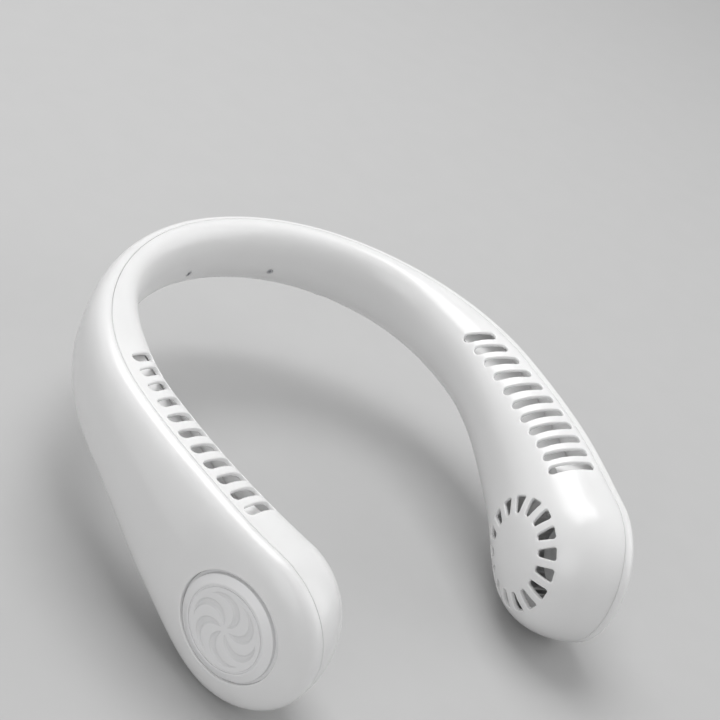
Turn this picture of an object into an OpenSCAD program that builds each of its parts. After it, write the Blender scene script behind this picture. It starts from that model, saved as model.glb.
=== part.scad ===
// Bladeless neck fan: a U-shaped band that hangs round the neck, with a fan head at each end.
// Lengths are in millimetres. +Z is up as the fan is worn, and the two heads point towards -Y.
// Left is the -X side and right is the +X side. The origin is under the middle of the part.
// The band follows a centre line in plan, measured as a distance s from the middle of the neck.
// At each s a cross-section has a height along Z and a bulge outwards and inwards of that line.

/* [Band path] */
// Radius of the centre line behind the neck
neck_radius = 92; // [86:1:98]
// Angle that the neck radius runs through on each side
neck_angle = 58.8; // [55:0.2:62]
// Radius of the centre line at the shoulders
shoulder_radius = 81.5; // [76:0.5:88]
// Angle that the shoulder radius runs through on each side
shoulder_angle = 31.7; // [29:0.1:34]
// Radius of the arms' slight inward sweep
arm_radius = 267; // [240:1:300]
// Distance along the centre line from the neck's middle to a head's axis
arm_length = 218; // [210:1:226]
// Drop of the heads' axes below the neck
head_drop = 21.5; // [16:0.5:26]

/* [Band section] */
// Half of the band's height at the neck
neck_half_height = 13.5; // [13:0.1:15]
// Radius of a fan head
head_radius = 31; // [30:0.1:33]
// Bulge of the outer shell at the neck
outer_bulge_neck = 4.25; // [4:0.05:5]
// Bulge of the outer shell at a head
outer_bulge_head = 9.4; // [9:0.1:10.5]
// Bulge of the inner shell at the neck
inner_bulge_neck = 8; // [7.6:0.1:10]
// Bulge of the inner shell at a head
inner_bulge_head = 30; // [28.5:0.1:32]
// Roundness power of the outer shell's section
outer_power = 2.7; // [2.5:0.1:3.2]
// Roundness power of the inner shell's section
inner_power = 2.45; // [2.3:0.05:2.8]
// Shell wall thickness
wall = 1.6; // [1.3:0.1:1.8]
// Height of the tongue that lines up the two shells
tongue = 0.8; // [0.5:0.1:1]
// Clearance between the tongue and its groove
tongue_gap = 0.1; // [0.05:0.05:0.2]

/* [Air outlets] */
// Number of outlet slots on each arm
slot_count = 11; // [8:1:11]
// Distance along the band of the first slot's outer end
slot_start = 124.4; // [122:0.1:127]
// Mean spacing of the slots along the band
slot_pitch = 7.57; // [7.3:0.01:7.6]
// Width of a slot
slot_width = 3.8; // [3:0.1:4]
// How far the first slot's inner end leans back towards the neck
slot_lean = 5.2; // [3:0.1:6]

/* [Air inlets] */
// Number of inlet vents on each head's inner face
vent_count = 16; // [12:1:16]
// Radius where the vents begin
vent_inner_radius = 14.7; // [14.3:0.1:15.4]
// Radius where the vents end
vent_outer_radius = 21.3; // [20.8:0.1:21.8]
// Width of a vent at its inner end
vent_inner_width = 2.7; // [2.4:0.1:3]
// Width of a vent at its outer end
vent_outer_width = 4.9; // [4.4:0.1:5.2]

/* [Side disc] */
// Radius of the round recess in a head's outer face
pocket_radius = 19.7; // [19.3:0.1:20.2]
// Depth of the recess below the crown of the outer face
pocket_depth = 4.2; // [4:0.1:4.6]
// Width of the shadow groove round the disc
groove_width = 1.2; // [0.9:0.1:1.5]
// Height of the disc's flat face above the crown of the outer face
disc_proud = 0.4; // [0:0.1:0.6]
// Width of the bevel round the disc
bevel_width = 2.8; // [2.4:0.1:3]
// Fall of that bevel
bevel_fall = 1.3; // [1:0.1:1.6]
// Thickness of the disc's face
disc_thickness = 1.3; // [1:0.1:1.6]
// Thickness of the disc's skirt
skirt_wall = 1.2; // [1:0.1:1.5]
// Height of the flange that centres the disc in its recess, the floor of the shadow groove
disc_flange = 1.7; // [1.2:0.1:2]
// Width of the fine ring groove in the disc's face
ring_width = 0.7; // [0.5:0.1:0.9]
// Depth of the fine ring groove
ring_depth = 0.5; // [0.3:0.1:0.7]
// Number of crescent recesses in the disc
crescent_count = 6; // [5:1:7]
// Depth of a crescent recess
crescent_depth = 0.5; // [0.3:0.1:0.7]
// Radius that the crescents reach
crescent_radius = 12.6; // [11.5:0.1:13]
// Greatest width of a crescent
crescent_width = 3; // [2.4:0.1:3.4]
// Angle that a crescent curls through
crescent_curl = 82; // [60:1:90]

/* [Impeller] */
// Radius of the impeller
impeller_radius = 20; // [19.4:0.1:20.2]
// Height of the impeller's blades
impeller_height = 15; // [14:0.1:15.4]
// Radius where the blades begin
blade_inner_radius = 15.8; // [15:0.1:16.4]
// Number of blades
blade_count = 25; // [21:1:29]
// Thickness of a blade
blade_thickness = 0.7; // [0.6:0.05:0.9]
// Thickness of the impeller's back plate and of its hub's walls
impeller_wall = 1; // [0.9:0.05:1.2]
// Thickness of the ring that ties the blades' free ends
tie_ring = 0.8; // [0.6:0.1:1]

/* [Motor] */
// Radius of the motor shaft
shaft_radius = 1; // [0.8:0.05:1.2]
// Running clearance between the shaft and its bearings
shaft_clearance = 0.03; // [0.02:0.01:0.06]
// Outer radius of the bearings
bearing_radius = 2; // [1.8:0.1:2.2]
// Length of a bearing
bearing_length = 2; // [1.6:0.1:2.4]
// Wall of the tube that holds the bearings
tube_wall = 1; // [0.8:0.1:1.2]
// Radius of the wound stator
stator_radius = 8.6; // [8.2:0.1:8.8]
// Height of the stator's iron
stator_height = 3.4; // [3:0.1:3.6]
// Number of stator poles
pole_count = 6; // [4:1:8]
// Gap between the stator and the magnet
air_gap = 0.35; // [0.3:0.05:0.5]
// Thickness of the ring magnet
magnet_thickness = 1.3; // [1:0.1:1.5]
// Height of the ring magnet
magnet_height = 5; // [4.4:0.1:5.4]
// Thickness of the rotor cup
rotor_wall = 0.7; // [0.6:0.05:0.9]
// Height of the rotor cup
rotor_height = 7.6; // [7:0.1:8]
// Thickness of the motor plate under the recess floor
plate_thickness = 1.2; // [1:0.1:1.4]
// Radius of the motor plate
plate_radius = 10.4; // [10:0.1:10.6]
// Thickness of the circuit boards
board_thickness = 0.8; // [0.6:0.1:1]

/* [Fan housing] */
// Radius of the spiral wall at its tongue
volute_start = 21.2; // [21:0.1:21.4]
// Radius of the spiral wall where it opens into the arm
volute_end = 24.4; // [23.8:0.1:24.8]
// Wall and plate thickness of the fan housing
housing_wall = 0.9; // [0.8:0.1:1]
// Reach of the housing's outlet towards the arm
outlet_reach = 26; // [25:0.5:28]
// Radius of the air inlet in the housing
inlet_radius = 16.6; // [16:0.1:17]
// Running clearance between the impeller and the housing's plates
impeller_gap = 1; // [0.8:0.1:1.2]

/* [Battery and board] */
// Length of a battery cell
battery_length = 34; // [28:0.5:36]
// Height of a battery cell
battery_height = 17.6; // [15:0.1:18]
// Thickness of a battery cell
battery_thickness = 6.4; // [5:0.1:6.6]
// Distance along the band of a battery's middle
battery_place = 84; // [82:0.5:88]
// Distance along the band of the bulkhead between the battery and the air duct
bulkhead_place = 112; // [110:0.5:114]
// Thickness of that bulkhead
bulkhead_thickness = 1.2; // [1:0.1:1.6]
// Rise of the air guide from the fan housing's outlet to the last slot
guide_rise = 15.5; // [13:0.5:16]
// Length of the main board
board_length = 30; // [28:0.5:31]
// Distance along the band of the main board's middle
board_place = 46; // [44:0.5:48]
// Radius of an insulated motor wire
wire_radius = 0.5; // [0.4:0.05:0.5]

/* [Controls] */
// Radius of the power button
button_radius = 3.4; // [3:0.1:3.8]
// Clearance round the power button
button_gap = 0.2; // [0.15:0.05:0.3]
// Travel of the power button
button_travel = 0.4; // [0.3:0.05:0.4]
// Height of the power button above the outer face
button_proud = 0.45; // [0.4:0.05:0.6]
// Width of the charging socket's shell
socket_width = 8.94; // [8.8:0.02:9]
// Thickness of the charging socket's shell
socket_thickness = 3.2; // [3.16:0.02:3.26]
// Depth of the charging socket
socket_depth = 7; // [6.5:0.1:7.3]
// Number of indicator lights
light_count = 3; // [2:1:4]
// Radius of an indicator light
light_radius = 0.8; // [0.6:0.05:0.9]
// Spacing of the indicator lights
light_pitch = 3; // [2.6:0.1:3.4]

/* [Hidden] */

left = -1;
right = 1;
full_turn = 360;
overrun = 1;

// Shares of the way from the neck's size to the head's, at even steps along an arm
height_shares = [0, 0.01, 0.05, 0.12, 0.28, 0.69, 1];
drop_shares = [0, 0.01, 0.08, 0.17, 0.32, 0.67, 1];
outer_bulge_shares = [0, 0.61, 1];
inner_bulge_shares = [0, 0.01, 0.07, 0.42, 0.61, 0.79, 1];

// Smooth curve through evenly spaced values, level at both ends
function knot(t, i) = t[i < 0 ? -i : i > len(t) - 1 ? 2 * (len(t) - 1) - i : i];
function curve_piece(a, b, c, d, f) =
    (2 * b + (c - a) * f + (2 * a - 5 * b + 4 * c - d) * f * f
    + (3 * b - a - 3 * c + d) * f * f * f) / 2;
function smooth_value(t, u) =
    let (x = min(max(u, 0), 1) * (len(t) - 1), i = min(floor(x), len(t) - 2))
    curve_piece(knot(t, i - 1), knot(t, i), knot(t, i + 1), knot(t, i + 2), x - i);
function between(a, b, share) = a + (b - a) * share;

// Section sizes at a distance s along the band
function arm_share(s) = abs(s) / arm_length;
function half_height(s) =
    between(neck_half_height, head_radius, smooth_value(height_shares, arm_share(s)));
function middle_z(s) = -head_drop * smooth_value(drop_shares, arm_share(s));
function outer_bulge(s) =
    between(outer_bulge_neck, outer_bulge_head, smooth_value(outer_bulge_shares, arm_share(s)));
function inner_bulge(s) =
    between(inner_bulge_neck, inner_bulge_head, smooth_value(inner_bulge_shares, arm_share(s)));
function bulge(face, s) = face > 0 ? outer_bulge(s) : inner_bulge(s);
function power(face) = face > 0 ? outer_power : inner_power;
// Depth of the section's bulge, as a share, at a share r of the way from its middle to its rim
function dome(face, r) = pow(max(0, 1 - pow(min(r, 1), power(face))), 1 / power(face));
// The share r at which that depth is reached
function rim_share(face, depth) = pow(1 - pow(depth, power(face)), 1 / power(face));

// Centre line in plan
arc_degrees = 180 / PI;
neck_end = neck_radius * neck_angle / arc_degrees;
shoulder_end = neck_end + shoulder_radius * shoulder_angle / arc_degrees;
arm_angle = neck_angle + shoulder_angle;
function heading(s) =
    s <= neck_end ? s / neck_radius * arc_degrees
    : s <= shoulder_end ? neck_angle + (s - neck_end) / shoulder_radius * arc_degrees
    : arm_angle + (s - shoulder_end) / arm_radius * arc_degrees;
function outwards(a) = [sin(a), cos(a)];
neck_centre = -neck_radius * outwards(0);
shoulder_centre = neck_centre + (neck_radius - shoulder_radius) * outwards(neck_angle);
arm_centre = shoulder_centre + (shoulder_radius - arm_radius) * outwards(arm_angle);
function line_point(s) =
    let (a = heading(s))
    s <= neck_end ? neck_centre + neck_radius * outwards(a)
    : s <= shoulder_end ? shoulder_centre + shoulder_radius * outwards(a)
    : arm_centre + arm_radius * outwards(a);
// A point of the part from its place along the band, its offset outwards and its height
function band_point(s, n, z) =
    let (p = line_point(abs(s)) + n * outwards(heading(abs(s))))
    [s < 0 ? -p.x : p.x, p.y, z];

// The surface net of a shell: rows run along the band, and columns run from its bottom to its top
arm_steps = 40;
head_steps = 7;
outer_columns = 14;
cavity_columns = 10;
head_z = middle_z(arm_length);
row_spread = 2 / inner_power;
// Rows are numbered along the band, and those past the arms turn round a head
rows = arm_steps + 2 * head_steps;
function head_turn(i) = pow(sin(90 * i / (head_steps + 1)), row_spread);
function row_past(i) =
    i < head_steps ? -head_turn(head_steps - i)
    : i > rows - head_steps ? head_turn(i - rows + head_steps) : 0;
function row_place(i) = between(-arm_length, arm_length, (i - head_steps) / arm_steps);
// Place and half height of a row, for a surface that lies an inset inside the outer one
function row_s(i, inset) =
    row_past(i) == 0 ? row_place(i)
    : sign(row_past(i)) * arm_length + row_past(i) * (head_radius - inset);
function row_half(i, inset) =
    row_past(i) == 0 ? half_height(row_place(i)) - inset
    : (head_radius - inset) * sqrt(1 - pow(row_past(i), 2));
function row_middle(i) = row_past(i) == 0 ? middle_z(row_place(i)) : head_z;
function column_share(face, j, columns) =
    let (a = between(-90, 90, j / columns)) sign(a) * pow(abs(sin(a)), 2 / power(face));
function net_point(face, i, j, columns, inset, least) =
    let (
        c = column_share(face, j, columns),
        r = row_past(i) == 0 ? abs(c) : sqrt(pow(row_past(i), 2) + pow(c, 2) * (1 - pow(row_past(i), 2))),
        n = max((bulge(face, min(abs(row_s(i, inset)), arm_length)) - inset) * dome(face, r), least)
    )
    band_point(row_s(i, inset), face * n, row_middle(i) + c * row_half(i, inset));
function net_inside(face, columns, inset, least) =
    [for (i = [0 : rows]) for (j = [1 : columns - 1]) net_point(face, i, j, columns, inset, least)];
// A closed loop round the seam: along the bottom, round one head, back along the top
tip_s = arm_length + head_radius;
function seam_loop(inset, n) = concat(
    [for (i = [0 : rows]) band_point(row_s(i, inset), n, row_middle(i) - row_half(i, inset))],
    [band_point(tip_s - inset, n, head_z)],
    [for (i = [rows : -1 : 0]) band_point(row_s(i, inset), n, row_middle(i) + row_half(i, inset))],
    [band_point(inset - tip_s, n, head_z)]
);
loop_size = 2 * rows + 4;
right_tip = rows + 1;
left_tip = 2 * rows + 3;
function net_index(i, j, columns, loop, inside) =
    j == 0 ? loop + i
    : j == columns ? loop + left_tip - 1 - i
    : inside + i * (columns - 1) + j - 1;
function net_faces(columns, loop, inside) = concat(
    [for (i = [0 : rows - 1]) for (j = [0 : columns - 1]) for (half = [0, 1])
        let (
            a = net_index(i, j, columns, loop, inside),
            b = net_index(i + 1, j, columns, loop, inside),
            c = net_index(i + 1, j + 1, columns, loop, inside),
            d = net_index(i, j + 1, columns, loop, inside)
        )
        half == 0 ? [a, b, c] : [a, c, d]],
    [for (j = [0 : columns - 1])
        [net_index(rows, j, columns, loop, inside), loop + right_tip,
         net_index(rows, j + 1, columns, loop, inside)]],
    [for (j = [0 : columns - 1])
        [net_index(0, j, columns, loop, inside), net_index(0, j + 1, columns, loop, inside),
         loop + left_tip]]
);
function strip_faces(from, to) =
    [for (k = [0 : loop_size - 1]) for (half = [0, 1])
        let (a = from + k, b = from + (k + 1) % loop_size, c = to + (k + 1) % loop_size, d = to + k)
        half == 0 ? [a, c, b] : [a, d, c]];
function turned(faces) = [for (f = faces) [f[2], f[1], f[0]]];

// Seam steps of each shell as pairs of inset and height: the inner shell has the tongue
half_wall = wall / 2;
outer_seam = [[0, 0], [half_wall, 0], [half_wall, tongue + tongue_gap], [wall, tongue + tongue_gap]];
inner_seam = [[0, 0], [half_wall + tongue_gap, 0], [half_wall + tongue_gap, tongue], [wall, tongue]];

module shell_skin(face) {
    seam = face > 0 ? outer_seam : inner_seam;
    loops = [for (step = seam) each seam_loop(step[0], step[1])];
    outside = net_inside(face, outer_columns, 0, 0);
    cavity = net_inside(face, cavity_columns, wall, face > 0 ? tongue + tongue_gap : 0);
    last_loop = (len(seam) - 1) * loop_size;
    outside_from = len(seam) * loop_size;
    cavity_from = outside_from + len(outside);
    faces = concat(
        net_faces(outer_columns, 0, outside_from),
        [for (k = [0 : len(seam) - 2]) each strip_faces(k * loop_size, (k + 1) * loop_size)],
        turned(net_faces(cavity_columns, last_loop, cavity_from))
    );
    polyhedron(concat(loops, outside, cavity), face > 0 ? faces : turned(faces), convexity = 8);
}

// The whole part stands on z = 0 with its box centred on the origin
skin_points = [for (face = [right, left]) each concat(
    net_inside(face, outer_columns, 0, 0), seam_loop(0, 0))];
skin_y = [for (p = skin_points) p.y];
skin_z = [for (p = skin_points) p.z];
lift = [0, -(min(skin_y) + max(skin_y)) / 2, -min(skin_z)];

// Puts children at a place along the band: x along it, y outwards, z up
module on_band(side, s) {
    p = line_point(s);
    translate(lift)
        mirror([side < 0 ? 1 : 0, 0, 0])
            translate([p.x, p.y, 0])
                rotate([0, 0, -heading(s)])
                    children();
}
// Puts children in a head: x towards the front, y down, z outwards along the fan's axis
module in_head(side) {
    on_band(side, arm_length)
        translate([0, 0, head_z])
            rotate([-90, 0, 0])
                children();
}

// Levels inside a head, measured outwards along the fan's axis
floor_top = outer_bulge_head - pocket_depth;
floor_under = floor_top - wall;
plate_under = floor_under - plate_thickness;
cover_under = floor_under - housing_wall;
blade_top = cover_under - impeller_gap;
blade_bottom = blade_top - impeller_height;
housing_inside = blade_bottom - impeller_gap;
housing_bottom = housing_inside - housing_wall;
motor_board_top = plate_under;
motor_board_under = motor_board_top - board_thickness;
rotor_gap = 0.6;
rotor_top = motor_board_under - rotor_gap;
rotor_bottom = rotor_top - rotor_height;
rotor_radius = stator_radius + air_gap + magnet_thickness + rotor_wall;
tube_radius = bearing_radius + tube_wall;
tube_end = rotor_bottom + rotor_wall + rotor_gap;

// Screws that hold a motor plate to the recess floor
plate_screw_radius = 0.8;
plate_screw_head_radius = 1.5;
plate_screw_head = 0.8;
plate_screw_circle_radius = 7.6;
plate_screw_count = 3;
plate_screw_angles = [for (k = [0 : plate_screw_count - 1]) k * full_turn / plate_screw_count + 90];
screw_hole_gap = 0.1;

// Facets of the small round holes and posts of the two shells
hole_facets = 12;

module ring_wall(outer, inner, height) {
    difference() {
        cylinder(r = outer, h = height, $fn = 64);
        translate([0, 0, -overrun])
            cylinder(r = inner, h = height + 2 * overrun, $fn = 64);
    }
}

// Power button, indicator lights and board, on the right side of the neck
board_offset = -0.6;
board_under = board_offset - board_thickness;
board_drop = 11.2;
board_rise = 7.6;
controls_z = middle_z(board_place);
board_low = controls_z - board_drop;
board_high = controls_z + board_rise;
button_shift = -4;
light_shift = 3.6;
light_middle = light_shift + (light_count - 1) * light_pitch / 2;
light_place = board_place + light_middle;
button_face = outer_bulge(board_place + button_shift);
button_top = button_face + button_proud;
switch_size = 5.2;
switch_height = 1.7;
switch_top = board_offset + switch_height;
plunger_radius = 1.2;
plunger_rise = 0.8;
plunger_depth = 0.8;
plunger_gap = 0.05;
flange_width = 0.9;
flange_thickness = 0.8;
flange_seat = 0.8;
flange_top = button_face - wall - flange_seat;
stem_radius = 1.6;
button_round = 0.5;
light_gap = 0.1;
light_bar_thickness = 1;
light_bar_margin = 1.2;
light_chip = [1.2, 1.2, 0.5];

module at_button() {
    on_band(right, board_place)
        translate([button_shift, 0, controls_z])
            rotate([-90, 0, 0])
                children();
}
// Puts children on each light's axis: from the shell's place for the pipe, from the board's for the chips
module at_lights(place) {
    on_band(right, place)
        for (k = [0 : light_count - 1])
            translate([board_place - place + light_shift + k * light_pitch, 0, controls_z])
                rotate([-90, 0, 0])
                    children();
}

// Screws that hold the two shells together behind the neck
neck_screw_place = 21.5;
neck_screw_drop = 5.7;
neck_screw_radius = 0.7;
neck_screw_head_radius = 1.15;
neck_screw_head = 0.7;
neck_hole_radius = 1.3;
neck_screw_sink = 0.2;
neck_screw_length = 6;
post_wall = 1.3;
post_radius = neck_screw_radius + screw_hole_gap + post_wall;
post_rib = 3;
neck_screw_z = middle_z(neck_screw_place) - neck_screw_drop;
neck_face = inner_bulge(neck_screw_place) * dome(left, neck_screw_drop / half_height(neck_screw_place));
post_gap = 0.05;
screw_seat = (inner_bulge(neck_screw_place) - wall)
    * dome(left, (neck_screw_drop + post_radius) / (half_height(neck_screw_place) - wall)) - post_gap;

// Puts children on a neck screw's axis, with z pointing outwards
module at_neck_screw(side) {
    on_band(side, neck_screw_place)
        translate([0, 0, neck_screw_z])
            rotate([-90, 0, 0])
                children();
}

// Charging socket: its mouth opens through the underside of the inner shell
socket_round = socket_thickness / 2;
socket_shift = 4;
socket_middle = board_under - socket_round;
socket_rim = 0.5;
socket_mouth = middle_z(board_place) + socket_rim
    - half_height(board_place) * rim_share(left, -socket_middle / inner_bulge(board_place));
socket_wall = 0.3;
socket_gap = 0.15;
contact_size = [6.2, 0.7, 4.6];

module socket_outline(grow) {
    reach = socket_width / 2 - socket_round;
    for (x = [-reach, reach])
        translate([x, 0])
            circle(r = socket_round + grow, $fn = 32);
    translate([-reach, -socket_round - grow])
        square([2 * reach, 2 * (socket_round + grow)]);
}
// Puts children on the socket's axis: x along the band, y inwards, z up from the mouth
module at_socket() {
    on_band(right, board_place)
        translate([socket_shift, socket_middle, socket_mouth])
            children();
}

// Posts that carry the main board, on the inner shell
board_post_radius = 1.3;
board_post_inset = 3;

// OUTER SHELL
module pocket_cup(side) {
    in_head(side)
        hull() {
            translate([0, 0, floor_under])
                cylinder(r = pocket_radius + wall, h = wall, $fn = 48);
            translate([0, 0, floor_top])
                cylinder(r = pocket_radius + half_wall, h = wall, $fn = 48);
        }
}
module pocket_cut(side) {
    in_head(side) {
        translate([0, 0, floor_top])
            cylinder(r = pocket_radius, h = pocket_depth + overrun, $fn = 48);
        for (a = plate_screw_angles)
            rotate([0, 0, a])
                translate([plate_screw_circle_radius, 0, floor_under - overrun])
                    cylinder(
                        r = plate_screw_radius + screw_hole_gap,
                        h = wall + 2 * overrun, $fn = hole_facets);
    }
}
module neck_post(side) {
    reach = outer_bulge(neck_screw_place) - half_wall;
    at_neck_screw(side) {
        translate([0, 0, -screw_seat])
            cylinder(r = post_radius, h = screw_seat + reach, $fn = hole_facets);
        for (a = [0, 90, 180, 270])
            rotate([0, 0, a])
                hull() {
                    translate([0, -half_wall / 2, 0])
                        cube([post_radius, half_wall, reach]);
                    translate([0, -half_wall / 2, reach - half_wall])
                        cube([post_rib + half_wall, half_wall, half_wall]);
                }
    }
}
module outer_shell() {
    color("white")
        difference() {
            union() {
                translate(lift)
                    shell_skin(right);
                for (side = [left, right]) {
                    pocket_cup(side);
                    neck_post(side);
                }
            }
            for (side = [left, right]) {
                pocket_cut(side);
                at_neck_screw(side)
                    translate([0, 0, -screw_seat - overrun])
                        cylinder(
                            r = neck_screw_radius + screw_hole_gap,
                            h = neck_screw_length + overrun, $fn = hole_facets);
            }
            at_button()
                cylinder(r = button_radius + button_gap, h = button_top + overrun, $fn = 32);
            at_lights(light_place)
                cylinder(r = light_radius + light_gap, h = button_top + overrun, $fn = hole_facets);
        }
}

// INNER SHELL
// The slots crowd a little, straighten and shorten from the first to the last
slot_crowding_share = 0.077;
slot_lean_shares = [1, 0.35, 0.2];
slot_outer_shares = [0.3, 0.155, 0.137];
slot_inner_shares = [0.737, 0.717, 0.646];
slot_cut = 4;
slot_facets = 10;
slot_tilts = [8, 50];
function slot_place(along) =
    slot_start + (slot_count - 1) * slot_pitch * along * (1 + slot_crowding_share * (1 - along));
module slot_end(s, depth, tilt) {
    translate([0, -inner_bulge(s) * depth, middle_z(s) + half_height(s) * rim_share(left, depth)])
        rotate([tilt, 0, 0])
            cylinder(d = slot_width, h = slot_cut, center = true, $fn = slot_facets);
}
module outlet_slot(side, along) {
    outer_s = slot_place(along);
    inner_s = outer_s - slot_lean * smooth_value(slot_lean_shares, along);
    hull() {
        on_band(side, outer_s)
            slot_end(outer_s, smooth_value(slot_outer_shares, along), slot_tilts[0]);
        on_band(side, inner_s)
            slot_end(inner_s, smooth_value(slot_inner_shares, along), slot_tilts[1]);
    }
}
vent_round = 0.9;
module vent(turn) {
    depth = inner_bulge_head * dome(left, vent_outer_radius / head_radius) - 2 * wall;
    rotate([0, 0, turn])
        hull()
            for (end = [
                [vent_inner_radius + vent_round, vent_inner_width / 2 - vent_round],
                [vent_outer_radius - vent_round, vent_outer_width / 2 - vent_round]
            ])
                for (edge = [-1, 1])
                    translate([end[0], edge * end[1], -inner_bulge_head - overrun])
                        cylinder(r = vent_round, h = inner_bulge_head + overrun - depth, $fn = 8);
}
module board_post(shift, z) {
    bend = neck_radius - sqrt(pow(neck_radius, 2) - pow(shift, 2));
    n = bend + (inner_bulge(board_place) - half_wall) * dome(left, abs(z - middle_z(board_place))
        / half_height(board_place));
    on_band(right, board_place)
        translate([shift, board_under, z])
            rotate([90, 0, 0])
                cylinder(r = board_post_radius, h = n + board_under, $fn = hole_facets);
}
board_post_places = [
    [board_post_inset - board_length / 2, board_high - board_post_inset],
    [board_length / 2 - board_post_inset, board_high - board_post_inset],
    [board_post_inset - board_length / 2, board_low + board_post_inset]
];
module inner_shell() {
    color("whitesmoke")
        difference() {
            union() {
                translate(lift)
                    shell_skin(left);
                for (place = board_post_places)
                    board_post(place[0], place[1]);
            }
            for (side = [left, right]) {
                for (k = [0 : slot_count - 1])
                    outlet_slot(side, k / (slot_count - 1));
                in_head(side)
                    for (k = [0 : vent_count - 1])
                        vent(k * full_turn / vent_count);
                at_neck_screw(side)
                    translate([0, 0, -neck_face - overrun]) {
                        cylinder(r = neck_hole_radius, h = overrun + neck_screw_sink + neck_screw_head,
                            $fn = hole_facets);
                        cylinder(r = neck_screw_radius + screw_hole_gap, h = 2 * overrun + wall,
                            $fn = hole_facets);
                    }
            }
            at_socket()
                translate([0, 0, -half_height(board_place) / 2])
                    linear_extrude(half_height(board_place) / 2 + 2 * wall + overrun)
                        socket_outline(socket_gap);
        }
}

// SIDE DISC: a cap with a bevelled rim, a ring groove and shallow crescents, over the motor screws
disc_radius = pocket_radius - groove_width;
disc_face = outer_bulge_head + disc_proud;
disc_field_radius = disc_radius - bevel_width;
ring_inset = 0.6;
crescent_points = 14;
crescent_start_share = 0.12;
crescent_bend = 1.6;
crescent_peak = 0.85;
crescent_step = 0.01;
disc_flange_gap = 0.1;
disc_flange_radius = pocket_radius - disc_flange_gap;
disc_flange_top = floor_top + disc_flange;
function crescent_path(t) =
    let (
        r = crescent_radius * between(crescent_start_share, 1, sin(90 * t)),
        a = crescent_curl * pow(t, crescent_bend)
    )
    r * [cos(a), -sin(a)];
function crescent_edge(t, edge) =
    let (
        along = crescent_path(t + crescent_step) - crescent_path(max(t - crescent_step, 0)),
        across = [-along.y, along.x] / norm(along),
        swell = pow(max(0, sin(180 * pow(t, crescent_peak))), crescent_peak)
    )
    crescent_path(t) + edge * crescent_width / 2 * swell * across;
module crescent() {
    polygon(concat(
        [for (k = [0 : crescent_points]) crescent_edge(k / crescent_points, -1)],
        [for (k = [crescent_points - 1 : -1 : 1]) crescent_edge(k / crescent_points, 1)]
    ));
}
module side_disc(side) {
    color("white")
        in_head(side)
            difference() {
                rotate_extrude($fn = 96)
                    polygon([
                        [0, disc_face - disc_thickness], [0, disc_face],
                        [disc_field_radius - ring_inset - ring_width, disc_face],
                        [disc_field_radius - ring_inset - ring_width, disc_face - ring_depth],
                        [disc_field_radius - ring_inset, disc_face - ring_depth],
                        [disc_field_radius - ring_inset, disc_face],
                        [disc_field_radius, disc_face],
                        [disc_radius, disc_face - bevel_fall],
                        [disc_radius, disc_flange_top],
                        [disc_flange_radius, disc_flange_top],
                        [disc_flange_radius, floor_top],
                        [disc_radius - skirt_wall, floor_top],
                        [disc_radius - skirt_wall, disc_face - bevel_fall - disc_thickness],
                        [disc_field_radius, disc_face - disc_thickness]
                    ]);
                for (k = [0 : crescent_count - 1])
                    rotate([0, 0, k * full_turn / crescent_count])
                        translate([0, 0, disc_face - crescent_depth])
                            linear_extrude(crescent_depth + overrun)
                                crescent();
            }
}

// MOTOR: fixed plate, board, stator and bearings, and a rotor cup that turns outside them
module motor_plate(side) {
    color("gainsboro")
        in_head(side)
            difference() {
                union() {
                    translate([0, 0, plate_under])
                        cylinder(r = plate_radius, h = plate_thickness, $fn = 64);
                    translate([0, 0, tube_end])
                        cylinder(r = tube_radius, h = plate_under - tube_end, $fn = 48);
                }
                translate([0, 0, tube_end - overrun])
                    cylinder(r = bearing_radius, h = floor_under - tube_end - plate_thickness / 2 + overrun,
                        $fn = 48);
                for (a = plate_screw_angles)
                    rotate([0, 0, a])
                        translate([plate_screw_circle_radius, 0, plate_under - overrun])
                            cylinder(r = plate_screw_radius, h = plate_thickness + 2 * overrun, $fn = 24);
            }
}
module motor_board(side) {
    color("darkgreen")
        in_head(side)
            difference() {
                translate([0, 0, motor_board_under])
                    cylinder(r = stator_radius, h = board_thickness, $fn = 64);
                translate([0, 0, motor_board_under - overrun])
                    cylinder(r = tube_radius, h = board_thickness + 2 * overrun, $fn = 48);
            }
}
stator_top = (rotor_top + tube_end + stator_height) / 2;
pole_width = 2;
pole_shoe = 1;
pole_shoe_half_angle = 24;
stator_ring_wall = 1.2;
winding_depth = 0.9;
winding_start = tube_radius + stator_ring_wall;
winding_end = stator_radius - pole_shoe;
module stator_core(side) {
    color("silver")
        in_head(side)
            translate([0, 0, stator_top - stator_height])
                linear_extrude(stator_height)
                    difference() {
                        union() {
                            circle(r = winding_start, $fn = 48);
                            for (k = [0 : pole_count - 1])
                                rotate(k * full_turn / pole_count) {
                                    translate([0, -pole_width / 2])
                                        square([winding_end + pole_shoe / 2, pole_width]);
                                    intersection() {
                                        difference() {
                                            circle(r = stator_radius, $fn = 64);
                                            circle(r = winding_end, $fn = 64);
                                        }
                                        polygon([[0, 0],
                                            2 * stator_radius * [cos(pole_shoe_half_angle), -sin(pole_shoe_half_angle)],
                                            2 * stator_radius * [cos(pole_shoe_half_angle), sin(pole_shoe_half_angle)]]);
                                    }
                                }
                        }
                        circle(r = tube_radius, $fn = 48);
                    }
}
module stator_windings(side) {
    width = pole_width + 2 * winding_depth;
    length = sqrt(pow(winding_end, 2) - pow(width / 2, 2)) - winding_start;
    height = stator_height + 2 * winding_depth;
    color("peru")
        in_head(side)
            for (k = [0 : pole_count - 1])
                rotate([0, 0, k * full_turn / pole_count])
                    translate([winding_start, 0, stator_top - stator_height / 2])
                        difference() {
                            translate([0, -width / 2, -height / 2])
                                cube([length, width, height]);
                            translate([-overrun, -pole_width / 2, -stator_height / 2])
                                cube([length + 2 * overrun, pole_width, stator_height]);
                        }
}
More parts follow.
